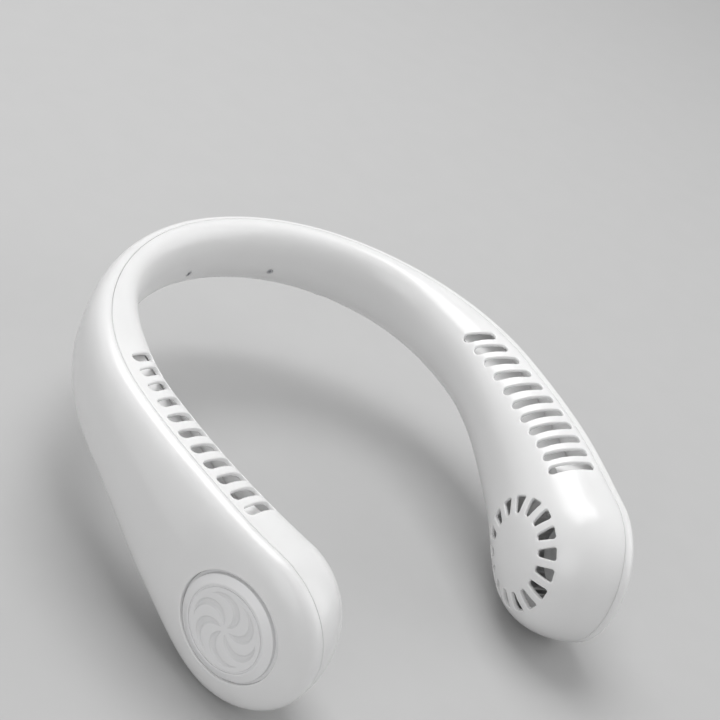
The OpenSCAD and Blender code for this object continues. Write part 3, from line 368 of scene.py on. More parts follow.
def smooth_value(shares, along):
    """A smooth curve through evenly spaced shares, level at both ends."""
    ends = np.array([shares[1], *shares, shares[-2]], float)
    x = np.clip(along, 0, 1) * (len(shares) - 1)
    i = np.minimum(x.astype(int), len(shares) - 2)
    f = x - i
    a, b, c, d = ends[i], ends[i + 1], ends[i + 2], ends[i + 3]
    curve = 2 * b + (c - a) * f + (2 * a - 5 * b + 4 * c - d) * f**2 + (3 * b - a - 3 * c + d) * f**3
    return curve / 2


def half_height(s):
    grown = smooth_value(height_shares, s / arm_length)
    return neck_half_height + (head_radius - neck_half_height) * grown


def middle_z(s):
    return -head_drop * smooth_value(drop_shares, s / arm_length)


def bulge(face, s):
    """How far the skin stands out from the centre line at the middle of its section."""
    low, high = outer_bulge_sizes if face > 0 else inner_bulge_sizes
    shares = outer_bulge_shares if face > 0 else inner_bulge_shares
    return low + (high - low) * smooth_value(shares, s / arm_length)


def heading(s):
    on_shoulder = neck_angle + (s - neck_end) / shoulder_radius
    on_arm = arm_angle + (s - shoulder_end) / arm_radius
    return np.where(s <= neck_end, s / neck_radius,
                    np.where(s <= shoulder_end, on_shoulder, on_arm))


def outwards(angle):
    return np.stack([np.sin(angle), np.cos(angle)], axis=-1)


neck_centre = -neck_radius * outwards(0.0)
shoulder_centre = neck_centre + (neck_radius - shoulder_radius) * outwards(neck_angle)
arm_centre = shoulder_centre + (shoulder_radius - arm_radius) * outwards(arm_angle)


def band_point(s, n, z):
    """A point in space from its place along the band, its offset outwards and its height."""
    s, n, z = np.broadcast_arrays(*(np.asarray(v, float) for v in (s, n, z)))
    along = np.abs(s)
    out = outwards(heading(along))
    centre = np.where(
        (along <= neck_end)[..., None], neck_centre + neck_radius * out,
        np.where((along <= shoulder_end)[..., None], shoulder_centre + shoulder_radius * out,
                 arm_centre + arm_radius * out))
    plan = centre + n[..., None] * out
    x = np.where(s < 0, -plan[..., 0], plan[..., 0])
    return np.stack([x, plan[..., 1] + lift_y, z + lift_z], axis=-1)


def local_place(side, s, z_middle, shift=0.0):
    """A frame at one place on the band: x along it, y up, z outwards, all in millimetres."""
    out = outwards(float(heading(s)))
    forward = np.array([out[1], -out[0]])
    middle = band_point(s, 0.0, z_middle)

    def place(x, y, z):
        x, y, z = np.broadcast_arrays(*(np.asarray(v, float) for v in (x, y, z)))
        plan = middle[:2] + (x[..., None] + shift) * forward + z[..., None] * out
        return np.stack([plan[..., 0], plan[..., 1], middle[2] + y], axis=-1) * [side, 1, 1]
    return place


head_z = middle_z(arm_length)
head_frames = {side: local_place(side, arm_length, head_z) for side in (-1, 1)}
print("lift in mm:", round(lift_y, 3), lift_z, "heads at z", round(head_z + lift_z, 3))

# %% [markdown]
# ## A flat pattern for a curved skin
# Slots, vents and holes are easiest to cut while a sheet lies flat. So each shell has a flat
# pattern, like a paper pattern: a long strip with a half round end for each head. Every point of
# the pattern has its place on the curved skin. The pattern is laid out by length along the
# section, so that its faces stay even from the flat middle to the tight edge.

# %% From the pattern to the skin
pattern_half = 50.0
table_steps = 6000
probe = 0.05  # a small step on the pattern, to feel how the skin runs
cut_rounds = 4  # rounds that settle where a straight cut meets the skin
seam_gap = 0.05
seam_round = 0.22
# The CAD's flat facets cut a little off the true curves, so the skins keep a hair inside them
hair = 0.01
tip_share = 0.9972


def section_table(power):
    """Height and depth of the rounded section, by the share of the way along it."""
    angle = np.linspace(0, math.pi / 2, table_steps + 1)
    height = np.sin(angle) ** (2 / power)
    depth = np.cos(angle) ** (2 / power)
    run = np.concatenate([[0], np.cumsum(np.hypot(np.diff(height), np.diff(depth)))])
    return run / run[-1], height, depth


sections = {outer_face: section_table(outer_power), inner_face: section_table(inner_power)}


def pattern_place(face, x, y, inset=0.0, seam=seam_gap + seam_round):
    """Place along the band, offset and height of a point of the flat pattern."""
    run, height, depth = sections[face]
    over = np.abs(x) - arm_length
    on_head = over > 0
    reach = np.where(on_head, np.hypot(over, y), np.abs(y)) / pattern_half
    up = np.interp(reach, run, height)
    deep = np.interp(reach, run, depth)
    turn = np.arctan2(y, over)
    inset = inset + hair
    radius = head_radius - inset
    along = np.where(on_head, arm_length + tip_share * radius * up * np.cos(turn), np.abs(x))
    on_arm = np.minimum(np.abs(x), arm_length)
    z = np.where(on_head, head_z + radius * up * np.sin(turn),
                 middle_z(on_arm) + np.sign(y) * up * (half_height(on_arm) - inset))
    n = face * (seam + deep * (bulge(face, on_arm) - inset - seam))
    return np.where(x < 0, -along, along), n, z


def skin(face, flat, inset=0.0, seam=seam_gap + seam_round):
    """Points of the curved skin, in millimetres, for points of the flat pattern."""
    return band_point(*pattern_place(face, flat[:, 0], flat[:, 1], inset, seam))


def skin_runs(face, flat):
    """How the skin runs for a small step each way on the pattern."""
    return [skin(face, flat + step) - skin(face, flat - step)
            for step in (np.array([probe, 0]), np.array([0, probe]))]


def skin_normal(face, flat):
    """Directions that point out of the skin."""
    normal = np.cross(*skin_runs(face, flat))
    normal /= np.linalg.norm(normal, axis=1, keepdims=True)
    s, n, z = pattern_place(face, flat[:, 0], flat[:, 1])
    on_arm = np.minimum(np.abs(s), arm_length)
    centre_z = np.where(np.abs(s) < arm_length, middle_z(on_arm), head_z)
    centre = band_point(np.clip(s, -arm_length, arm_length), np.zeros_like(n), centre_z)
    outside = np.sum(normal * (skin(face, flat) - centre), axis=1)
    return normal * np.where(outside < 0, -1, 1)[:, None]


def to_pattern(face, s, z):
    """The flat pattern's point for a place along one arm and a height."""
    run, height, _ = sections[face]
    over = (s - arm_length) / tip_share
    on_head = over > 0
    on_arm = np.minimum(s, arm_length)
    up = np.where(on_head, np.hypot(over, z - head_z) / head_radius,
                  (z - middle_z(on_arm)) / half_height(on_arm))
    reach = pattern_half * np.interp(np.abs(up), height, run)
    turn = np.arctan2(z - head_z, over)
    x = np.where(on_head, arm_length + reach * np.cos(turn), s)
    y = np.where(on_head, reach * np.sin(turn), np.sign(up) * reach)
    return np.stack([x, y], axis=-1)


def straight_cut(face, side, middle, x, z):
    """The pattern's outline of a hole that is cut straight through at one place along the band."""
    curve = neck_radius if middle < neck_end else arm_radius
    offset = np.zeros_like(x)
    for _ in range(cut_rounds):
        s = middle + curve * np.arcsin(x / (curve + offset))
        flat = to_pattern(face, s, z)
        offset = pattern_place(face, flat[:, 0], flat[:, 1])[1]
    return flat * [side, 1]


print("a pattern", 2 * (arm_length + pattern_half), "by", 2 * pattern_half, "mm for each shell")

# %% [markdown]
# ## Cutting the pattern
# A dense, regular net is laid over the pattern. Where a hole goes through, the net's cells are
# taken out and the space between the hole's outline and the rest of the net is filled with
# triangles that keep both edges. A boolean cut would do it too, but it leaves long thin faces that
# spoil the gloss.

# %% Lay the net
column_step = 1.5
columns = 2 * round(arm_length / column_step)
row_count = 30
row_step = pattern_half / row_count
head_steps = 48


def grid_cells(index):
    """Four-sided cells of a grid of numbered points."""
    corners = [index[:-1, :-1], index[1:, :-1], index[1:, 1:], index[:-1, 1:]]
    return np.stack(corners, axis=-1).reshape(-1, 4)


def lay_net():
    """Points and four-sided cells of the uncut pattern, with the outline round its rim."""
    xs = np.linspace(-arm_length, arm_length, columns + 1)
    ys = np.linspace(-pattern_half, pattern_half, 2 * row_count + 1)
    points = [np.stack(np.meshgrid(xs, ys, indexing="ij"), axis=-1).reshape(-1, 2)]
    arm_index = np.arange((columns + 1) * (2 * row_count + 1)).reshape(columns + 1, -1)
    cells = [grid_cells(arm_index)]
    rims = {}
    next_index = arm_index.size
    turns = np.linspace(-math.pi / 2, math.pi / 2, head_steps + 1)[1:-1]
    reaches = np.linspace(0, pattern_half, row_count + 1)[1:]
    for side, column in ((1, columns), (-1, 0)):
        inside = np.stack([
            side * (arm_length + reaches[None, :] * np.cos(turns[:, None])),
            reaches[None, :] * np.sin(turns[:, None])], axis=-1)
        points.append(inside.reshape(-1, 2))
        index = np.empty((head_steps + 1, row_count + 1), int)
        index[:, 0] = arm_index[column, row_count]
        index[0] = arm_index[column, row_count::-1]
        index[-1] = arm_index[column, row_count:]
        index[1:-1, 1:] = next_index + np.arange(inside[..., 0].size).reshape(head_steps - 1, -1)
        next_index += inside[..., 0].size
        quads = np.stack([index[:-1, :-1], index[:-1, 1:], index[1:, 1:], index[1:, :-1]], axis=-1)
        cells.append((quads if side > 0 else quads[..., ::-1]).reshape(-1, 4))
        rims[side] = index[:, -1]
    rim = np.concatenate([arm_index[:-1, 0], rims[1][:-1], arm_index[:0:-1, -1], rims[-1][:0:-1]])
    return np.concatenate(points), np.concatenate(cells), rim


def inside_outline(points, outline):
    """Which points lie inside a closed outline."""
    a, b = outline, np.roll(outline, -1, axis=0)
    px, py = points[:, 0, None], points[:, 1, None]
    crosses = (a[:, 1] > py) != (b[:, 1] > py)
    with np.errstate(divide="ignore", invalid="ignore"):
        at = a[:, 0] + (py - a[:, 1]) * (b[:, 0] - a[:, 0]) / (b[:, 1] - a[:, 1])
    return (crosses & (px < at)).sum(axis=1) % 2 == 1


net_points, net_cells, net_rim = lay_net()
cell_middles = net_points[net_cells].mean(axis=1)
cell_size = np.array([column_step, row_step])
key_step = 1000  # more than the rows or rings of the net, so that no two cells share a number
key_side = 1e6


def cell_key(points):
    """A number for the net's cell that holds each point."""
    over = np.abs(points[:, 0]) - arm_length
    column = np.floor((points[:, 0] + arm_length) / (2 * arm_length / columns))
    row = np.floor((points[:, 1] + pattern_half) / row_step)
    turn = np.floor((np.arctan2(points[:, 1], over) + math.pi / 2) / (math.pi / head_steps))
    ring = np.floor(np.hypot(over, points[:, 1]) / row_step)
    arm_key = column * key_step + row
    head_key = key_side * (2 + np.sign(points[:, 0])) + turn * key_step + ring
    return np.where(over > 0, head_key, arm_key).astype(int)


cell_keys = cell_key(cell_middles)
print("net of", len(net_cells), "cells")

# %% Cut holes in the net
search_cells = 3  # how far from an outline cells are looked at
cut_cells = 1.35  # cells nearer than this to an outline are taken out
clear_cells = 0.5  # and points nearer than this aren't used again
merge_distance = 1e-6


def ring_edges(start, count):
    """Edges of a closed ring of numbered points."""
    return [(start + i, start + (i + 1) % count) for i in range(count)]


def fill_between(points, edges):
    """Triangles that keep the edges: middles, corners, and the given points of each corner."""
    found, _, triangles, origins, *_ = delaunay_2d_cdt(
        [Vector(p) for p in points], edges, [], 0, merge_distance, True)
    triangles = np.array(triangles)
    middles = np.array([tuple(p) for p in found])[triangles].mean(axis=1)
    return middles, triangles, origins


def cut_pattern(outlines):
    """The net with holes: all its points, its faces, and each hole's ring of points."""
    cut = np.zeros(len(net_cells), bool)
    blocked = np.zeros(len(net_points), bool)
    for outline in outlines:
        low = outline.min(axis=0) - search_cells * cell_size
        high = outline.max(axis=0) + search_cells * cell_size
        for middles, mask, margin in ((cell_middles, cut, cut_cells),
                                      (net_points, blocked, clear_cells)):
            near = np.flatnonzero(((middles > low) & (middles < high)).all(axis=1))
            gaps = np.linalg.norm((middles[near, None] - outline[None]) / cell_size, axis=2)
            inside = inside_outline(middles[near], outline)
            mask[near[(gaps.min(axis=1) < margin) | inside]] = True
    cells = net_cells[cut]
    sides = np.concatenate([cells, np.roll(cells, -1, axis=1)], axis=0).reshape(2, -1).T
    sides = Counter((min(a, b), max(a, b)) for a, b in sides.tolist() if a != b)
    border = [side for side, count in sides.items() if count == 1]
    on_border = {v for side in border for v in side}
    kept = [v for v in np.unique(cells).tolist() if v in on_border or not blocked[v]]
    local = {v: i for i, v in enumerate(kept)}
    flat = np.concatenate([net_points[kept], *outlines])
    starts = np.cumsum([len(kept)] + [len(outline) for outline in outlines]).tolist()
    edges = [(local[a], local[b]) for a, b in border]
    for start, outline in zip(starts, outlines):
        edges += ring_edges(start, len(outline))
    middles, triangles, origins = fill_between(flat, edges)
    keep = np.isin(cell_key(middles), cell_keys[cut])
    for outline in outlines:
        low, high = outline.min(axis=0), outline.max(axis=0)
        near = np.flatnonzero(keep & ((middles > low) & (middles < high)).all(axis=1))
        keep[near[inside_outline(middles[near], outline)]] = False
    # Points of the cut part go after the net's own points
    numbers = np.concatenate([kept, len(net_points) + np.arange(len(flat) - len(kept))])
    index = numbers[[given[0] for given in origins]]
    ring_of = {given: index[i] for i, all_given in enumerate(origins) for given in all_given}
    rings = [np.array([ring_of[start + i] for i in range(len(outline))])
             for start, outline in zip(starts, outlines)]
    points = np.concatenate([net_points, flat[len(kept):]])
    return points, net_cells[~cut], index[triangles[keep]], rings


print("cells nearer than", cut_cells, "cells to an outline are cut out")

# %% [markdown]
# ## A shell from its pattern
# A moulded shell is a wall of even thickness: an outer skin, an inner skin, and a lip between them
# at the seam. Round every hole the outer edge is rounded, as a mould's edge is, and that small
# round is what catches the light. So each hole gets a few rings of points from one skin to the
# other.

# %% Rounded edges of a hole
edge_round = 0.45
round_steps = 4
round_clear = 0.08
inner_edge = 0.25


def round_over(face, outline_at, radius):
    """Rings that roll the skin over into a hole, and the outline just outside the round."""
    rings = []
    for k in range(round_steps + 1):
        angle = math.pi / 2 * k / round_steps
        flat = outline_at(radius * (1 - math.sin(angle)))
        rings.append(skin(face, flat) - radius * (1 - math.cos(angle)) * skin_normal(face, flat))
    return outline_at(radius + round_clear), rings


def through_hole(face, outline_at, radius=edge_round):
    """A hole through the wall, with a rounded outer edge and a small bevel inside."""
    outer, rings = round_over(face, outline_at, radius)
    flat = outline_at(0.0)
    inside = skin(face, flat, wall, seam_gap)
    share = 1 - inner_edge / wall
    rings.append(rings[-1] + (inside - rings[-1]) * share)
    return {"outer": outer, "rings": rings, "inner": outline_at(inner_edge)}


print("a hole's edge has a round of", edge_round, "mm outside and a bevel of", inner_edge, "inside")

# %% Collect a mesh
speck = 1e-7  # an edge shorter than this, in metres, is no edge
sharp_from = 38


class Sheet:
    """Collects the points and faces of a mesh, and which of its materials each face has."""

    def __init__(self):
        self.points = []
        self.faces = []
        self.kinds = []
        self.kind = 0
        self.count = 0

    def add(self, points):
        self.points.append(np.asarray(points, float))
        self.count += len(points)
        return np.arange(self.count - len(points), self.count)

    def put(self, faces):
        corners = [list(dict.fromkeys(face)) for face in np.asarray(faces).tolist()]
        kept = [face for face in corners if len(face) > 2]
        self.faces += kept
        self.kinds += [self.kind] * len(kept)

    def bridge(self, a, b):
        """Faces between two rings with the same number of points."""
        self.put(np.stack([a, np.roll(a, -1), np.roll(b, -1), b], axis=1))

    def rings(self, last, rings):
        """Bridges from one ring through a row of new ones, and gives back the last."""
        for points in rings:
            ring = self.add(points)
            self.bridge(last, ring)
            last = ring
        return last

    def ended(self, last, rings):
        """Bridges from one ring through new ones to a flat face."""
        self.put([self.rings(last, rings)])

    def closed(self, rings):
        """A closed body from a row of rings, with a flat face at each end."""
        first = self.add(rings[0])
        self.put([first])
        self.ended(first, rings[1:])

    def piece(self, name, materials, sharp_degrees=sharp_from):
        """The finished object, in metres, with its faces turned outwards and smoothly shaded."""
        mesh = bpy.data.meshes.new(name)
        mesh.from_pydata((np.concatenate(self.points) * mm).tolist(), [], self.faces)
        mesh.polygons.foreach_set("material_index", self.kinds)
        for material in materials:
            mesh.materials.append(material)
        work = bmesh.new()
        work.from_mesh(mesh)
        bmesh.ops.dissolve_degenerate(work, edges=work.edges, dist=speck)
        loose = [v for v in work.verts if not v.link_faces]
        bmesh.ops.delete(work, geom=loose, context="VERTS")
        bmesh.ops.recalc_face_normals(work, faces=work.faces)
        open_edges = sum(1 for e in work.edges if len(e.link_faces) != 2)
        work.to_mesh(mesh)
        work.free()
        mesh.shade_smooth()
        mesh.set_sharp_from_angle(angle=math.radians(sharp_degrees))
        item = new_object(name, mesh)
        print(name, "has", len(mesh.polygons), "faces and", open_edges, "open edges")
        return item


def dress(item, body, slot, *nodes):
    """Says what carries a piece and which CAD nodes it stands for; the slot is not used."""
    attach(item, body)
    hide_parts(*nodes)


print("an edge is sharp from", sharp_from, "degrees, where a piece asks for nothing else")

# %% Build a shell
rim_share = 1 - 1e-4  # where the lip's direction is felt, just inside the pattern's rim


def build_shell(name, face, holes, cups):
    """A moulded shell: holes go through the wall, and cups are closed hollows in it."""
    sheet = Sheet()
    rings, rims = {}, {}
    # The inner layer's faces take the second material, the inside that is painted lighter as painted
    # light
    for kind, layer, inset, seam in ((0, "outer", 0.0, seam_gap + seam_round),
                                     (1, "inner", wall, seam_gap)):
        flat, quads, triangles, loops = cut_pattern([hole[layer] for hole in holes + cups])
        sheet.kind = kind
        index = sheet.add(skin(face, flat, inset, seam))
        sheet.put(index[quads])
        sheet.put(index[triangles])
        rings[layer] = [index[loop] for loop in loops]
        rims[layer] = index[net_rim]
    sheet.kind = 0
    # The seam's lip: a small round, then a flat face towards the inside
    rim_flat = net_points[net_rim]
    inwards = -skin_normal(face, rim_flat * [1.0, rim_share])
    s, _, z = pattern_place(face, rim_flat[:, 0], rim_flat[:, 1])
    lip = []
    for k in range(1, round_steps + 1):
        angle = math.pi / 2 * k / round_steps
        offset = face * (seam_gap + seam_round * (1 - math.sin(angle)))
        lip.append(band_point(s, offset, z) + seam_round * (1 - math.cos(angle)) * inwards)
    sheet.bridge(sheet.rings(rims["outer"], lip), rims["inner"])
    for hole, outer, inner in zip(holes, rings["outer"], rings["inner"]):
        sheet.bridge(sheet.rings(outer, hole["rings"]), inner)
    for cup, outer, inner in zip(cups, rings["outer"][len(holes):], rings["inner"][len(holes):]):
        sheet.ended(outer, cup["rings"])
        sheet.ended(inner, cup["inner_rings"])
    return sheet.piece(name, [shell_white, shell_inside])


print("a shell's wall is", wall, "mm thick")

# %% [markdown]
# ## The outer shell
# The outer shell is the calm half of the fan: one long smooth wall with a round recess in each
# head, where the cap sits, a hole for the power button and three pin holes for the lights. The
# recess is cut straight along the fan's axis, so its outline on the curved skin is worked out, not
# drawn.

# %% Round holes and rings
circle_points = 128


def on_circle(angle, radius=1.0):
    """Points on a circle round the origin."""
    return radius * np.stack([np.cos(angle), np.sin(angle)], axis=-1)


def ring_xy(radius, count=circle_points):
    turn = np.linspace(0, 2 * math.pi, count, endpoint=False)
    return radius * np.cos(turn), radius * np.sin(turn)


def turned_rings(place, profile, count=circle_points):
    """Rings round an axis, from a line of radius and level."""
    x, y = ring_xy(1.0, count)
    return [place(radius * x, radius * y, level) for radius, level in profile]


def round_outline(face, side, middle, x0, z0, radius, count=circle_points):
    """Outlines of a round hole that is cut straight through the skin, by how much it grows."""
    def outline_at(grow):
        x, z = ring_xy(radius + grow, count)
        return straight_cut(face, side, middle, x0 + x, z0 + z)
    return outline_at


print("a large ring has", circle_points, "points")

# %% Outer shell
pocket_radius = 19.7
pocket_depth = 4.2
pocket_corner = 0.3
floor_top = outer_bulge_sizes[1] - pocket_depth
floor_under = floor_top - wall
cup_radius = pocket_radius + wall
cup_flare = 0.4
board_place = 46.0
button_shift = -4.0
button_radius = 3.4
button_gap = 0.2
button_hole = (64, 0.3)  # points round the hole, and the round of its edge
light_shift = 3.6
light_pitch = 3.0
light_count = 3
light_radius = 0.8
light_gap = 0.1
light_hole = (24, 0.12)
light_place = board_place + light_shift + (light_count - 1) * light_pitch / 2
light_shifts = [(k - (light_count - 1) / 2) * light_pitch for k in range(light_count)]


def pocket(side):
    """The round recess of a head and the cup behind it."""
    def cut(radius):
        return round_outline(outer_face, side, arm_length, 0.0, head_z, radius)

    outer, rings = round_over(outer_face, cut(pocket_radius), edge_round)
    rings += turned_rings(head_frames[side], [
        (pocket_radius, floor_top + pocket_corner), (pocket_radius - pocket_corner, floor_top),
        (pocket_radius / 2, floor_top)])
    behind = turned_rings(head_frames[side], [
        (cup_radius, floor_under), (pocket_radius / 2, floor_under)])
    return {"outer": outer, "rings": rings,
            "inner": cut(cup_radius + cup_flare)(0.0), "inner_rings": behind}


def control_hole(place, shift, radius, count, edge):
    """A round hole for the button or a light, on the right side of the neck."""
    outline_at = round_outline(outer_face, 1, place, shift, controls_z, radius, count)
    return through_hole(outer_face, outline_at, edge)


controls_z = middle_z(board_place)
control_holes = [control_hole(board_place, button_shift, button_radius + button_gap, *button_hole)]
control_holes += [control_hole(light_place, shift, light_radius + light_gap, *light_hole)
                  for shift in light_shifts]
outer_skin = build_shell("outer_shell_skin", outer_face, control_holes, [pocket(-1), pocket(1)])
dress(outer_skin, "housing", "white_shell", "outer_shell")

# %% [markdown]
# ## The inner shell
# The inner shell faces the neck and carries all the air's ways: eleven slots along the top of each
# arm, where the breeze comes out, and a ring of sixteen vents on each head, where it goes in. Each
# slot wraps round the tight edge of the shell and leans back, so its outline is drawn along the
# skin, in true lengths, and then laid on the pattern.

# %% Slots and vents
slot_count = 11
slot_start = 124.4
slot_pitch = 7.57
slot_width = 3.8
slot_lean = 5.2
slot_crowding_share = 0.077
slot_lean_shares = [1, 0.35, 0.2]
slot_outer_shares = [0.3, 0.155, 0.137]
slot_inner_shares = [0.737, 0.717, 0.646]
slot_end_points = 15
slot_side_steps = 11
vent_count = 16
vent_inner_radius = 14.7
vent_outer_radius = 21.3
vent_inner_width = 2.7
vent_outer_width = 4.9
vent_round = 0.9
vent_edge = 0.35
vent_corner_points = 7
vent_side_points = (4, 7)  # along its ends and along its flanks


def depth_to_reach(share):
    """How far along the section its depth falls to a share."""
    run, _, depth = sections[inner_face]
    return pattern_half * np.interp(share, depth[::-1], run[::-1])


def skin_scale(face, flat):
    """True millimetres on the skin for one millimetre each way on the pattern."""
    runs = [np.linalg.norm(run, axis=1) for run in skin_runs(face, flat)]
    return np.stack(runs, axis=-1) / (2 * probe)


def between(a, b, steps):
    """Evenly spaced points between two, without the two."""
    return a + (b - a) * np.linspace(0, 1, steps + 1)[1:-1, None]


def slot_outline(side, along):
    """Outlines of one slot: a long round-ended hole from the edge towards the inner face."""
    crowding = 1 + slot_crowding_share * (1 - along)
    s = slot_start + (slot_count - 1) * slot_pitch * along * crowding
    back = slot_lean * smooth_value(slot_lean_shares, along)
    ends = np.array([[s, depth_to_reach(smooth_value(slot_outer_shares, along))],
                     [s - back, depth_to_reach(smooth_value(slot_inner_shares, along))]])
    scale = skin_scale(inner_face, ends)
    run = (ends[1] - ends[0]) * scale.mean(axis=0)
    away = math.atan2(run[1], run[0])
    half_turn = np.linspace(0, math.pi, slot_end_points)

    def outline_at(grow):
        radius = slot_width / 2 + grow
        first = ends[0] + on_circle(away + math.pi / 2 + half_turn, radius) / scale[0]
        second = ends[1] + on_circle(away - math.pi / 2 + half_turn, radius) / scale[1]
        return np.concatenate([
            first, between(first[-1], second[0], slot_side_steps),
            second, between(second[-1], first[0], slot_side_steps)]) * [side, 1]
    return outline_at


def vent_outline(side, turn):
    """Outlines of one vent: a wedge with round corners, narrow towards the middle of the head."""
    near, far = vent_inner_radius + vent_round, vent_outer_radius - vent_round
    small, large = vent_inner_width / 2 - vent_round, vent_outer_width / 2 - vent_round
    corners = np.array([(far, -large), (far, large), (near, small), (near, -small)])
    ahead = np.roll(corners, -1, axis=0) - corners
    facing = np.arctan2(-ahead[:, 0], ahead[:, 1])

    def outline_at(grow):
        points = []
        for k, corner in enumerate(corners):
            sweep = (facing[k] - facing[k - 1]) % (2 * math.pi)
            angle = facing[k - 1] + sweep * np.linspace(0, 1, vent_corner_points)
            arc = corner + on_circle(angle, vent_round + grow)
            share = np.linspace(0, 1, vent_side_points[k % 2])[1:-1, None]
            points += [arc, arc[-1] + ahead[k] * share]
        wedge = np.concatenate(points)
        x = wedge[:, 0] * math.cos(turn) - wedge[:, 1] * math.sin(turn)
        z = wedge[:, 0] * math.sin(turn) + wedge[:, 1] * math.cos(turn)
        return straight_cut(inner_face, side, arm_length, x, head_z + z)
    return outline_at


print(2 * slot_count, "slots and", 2 * vent_count, "vents drawn")

# %% Screw holes and the socket's mouth
neck_screw_place = 21.5
neck_screw_drop = 5.7
neck_hole_radius = 1.3
neck_pilot_radius = 0.8
neck_hole_depth = 0.9
neck_hole_points = 32
small_round = 0.2
socket_shift = 4.0
socket_offset = 3.0
socket_width = 8.94
socket_thickness = 3.2
socket_gap = 0.15
socket_end_points = 17
socket_side_steps = 8
screw_z = middle_z(neck_screw_place) - neck_screw_drop


def screw_hole(side):
    """A stepped hole for one of the two screws behind the neck."""
    outline_at = round_outline(
        inner_face, side, neck_screw_place, 0.0, screw_z, neck_hole_radius, neck_hole_points)
    outer, rings = round_over(inner_face, outline_at, small_round)
    step = neck_pilot_radius - neck_hole_radius
    for grow in (0.0, step):
        flat = outline_at(grow)
        rings.append(skin(inner_face, flat) - neck_hole_depth * skin_normal(inner_face, flat))
    return {"outer": outer, "rings": rings, "inner": outline_at(step)}


def socket_outline(grow):
    """Outline of the charging socket's mouth, on the underside of the band."""
    reach = socket_width / 2 - socket_thickness / 2
    turn = np.linspace(-math.pi / 2, math.pi / 2, socket_end_points)
    right = [reach, 0] + on_circle(turn, socket_thickness / 2 + socket_gap + grow)
    left = -right
    loop = np.concatenate([right, between(right[-1], left[0], socket_side_steps),
                           left, between(left[-1], right[0], socket_side_steps)])
    x, offset = socket_shift + loop[:, 0], socket_offset + loop[:, 1]
    s = board_place + neck_radius * np.arcsin(x / (neck_radius - socket_offset))
    depth = offset - (neck_radius - np.sqrt(neck_radius**2 - x**2))
    run, _, deep = sections[inner_face]
    reach_down = np.interp(depth / bulge(inner_face, s), deep[::-1], run[::-1])
    return np.stack([s, -pattern_half * reach_down], axis=-1)


print("screws at z", round(screw_z + lift_z, 2))

# %% Inner shell
inner_holes = []
for side in (-1, 1):
    inner_holes += [through_hole(inner_face, slot_outline(side, k / (slot_count - 1)))
                    for k in range(slot_count)]
    vent_turns = [2 * math.pi * k / vent_count for k in range(vent_count)]
    inner_holes += [through_hole(inner_face, vent_outline(side, turn), vent_edge)
                    for turn in vent_turns]
    inner_holes.append(screw_hole(side))
inner_holes.append(through_hole(inner_face, socket_outline, small_round))
inner_skin = build_shell("inner_shell_skin", inner_face, inner_holes, [])
dress(inner_skin, "housing", "white_shell", "inner_shell")

# %% [markdown]
# ## The side caps
# A round cap closes each head. It has a bevelled rim, a fine ring groove, and six shallow
# crescents that show which way the air turns. The cap's body is turned on a lathe line by line.
# The crescents are scooped: each is a small net whose depth grows from nothing at its edge, so
# that they show as soft shade, as on the real cap, and not as hard lines. Their plastic is also
# painted darker than the cap's, as painted shade in the scoops.

# %% Soft corners, and a turned body with holes in its top
corner_share = 0.42  # a round takes no more than this share of the lines beside it
corner_guard = 1.15  # a point this much further off keeps the flat beside a round flat
corner_steps = 4


def soften(corners, radius):
    """Rounds the corners of a line, with a point beside each round that keeps the flats flat."""
    corners = np.array(corners, float)
    line = [corners[0]]
    for before, corner, after in zip(corners, corners[1:], corners[2:]):
        back, on = before - corner, after - corner
        back_length, on_length = np.linalg.norm(back), np.linalg.norm(on)
        reach = min(radius, corner_share * back_length, corner_share * on_length)
        start, end = corner + back / back_length * reach, corner + on / on_length * reach
        line.append(corner + back / back_length * reach * corner_guard)
        for share in np.linspace(0, 1, corner_steps + 1):
            rest = 1 - share
            line.append(rest**2 * start + 2 * share * rest * corner + share**2 * end)
        line.append(corner + on / on_length * reach * corner_guard)
    line.append(corners[-1])
    return line


def turned_with_holes(sheet, place, line, loops, count=circle_points):
    """A body turned from a line, with loops cut from its top; gives back the loops' points."""
    rings = turned_rings(place, line, count)
    rim = sheet.add(rings[0])
    sheet.ended(rim, rings[1:])
    radius, level = line[0]
    flat = np.concatenate([np.stack(ring_xy(radius, count), axis=-1), *loops])
    ends = np.cumsum([count] + [len(loop) for loop in loops])
    numbers = np.split(np.arange(len(flat)), ends[:-1])
    edges = [edge for ring in numbers for edge in ring_edges(int(ring[0]), len(ring))]
    middles, triangles, origins = fill_between(flat, edges)
    kept = np.ones(len(triangles), bool)
    for loop in loops:
        kept &= ~inside_outline(middles, loop)
    index = np.concatenate([rim, sheet.add(place(flat[count:, 0], flat[count:, 1], level))])
    sheet.put(index[[given[0] for given in origins]][triangles[kept]])
    return [index[ring] for ring in numbers[1:]]


print("each soft corner has", corner_steps, "steps")

# %% Crescents
crescent_count = 6
crescent_depth = 0.5
crescent_radius = 12.6
crescent_width = 3.0
crescent_curl = math.radians(82)
crescent_start = 0.12
crescent_bend = 1.6
crescent_peak = 0.85
crescent_wall = 0.75
crescent_steps = 30
crescent_rows = 9
crescent_crowding = 1.4


def crescent_line(share):
    """The middle line of a crescent, and half its width, from near the middle to the tip."""
    grown = crescent_start + (1 - crescent_start) * np.sin(math.pi / 2 * share)
    turn = crescent_curl * share**crescent_bend
    swell = np.maximum(0, np.sin(math.pi * share**crescent_peak)) ** crescent_peak
    return on_circle(turn, crescent_radius * grown[:, None]), crescent_width / 2 * swell


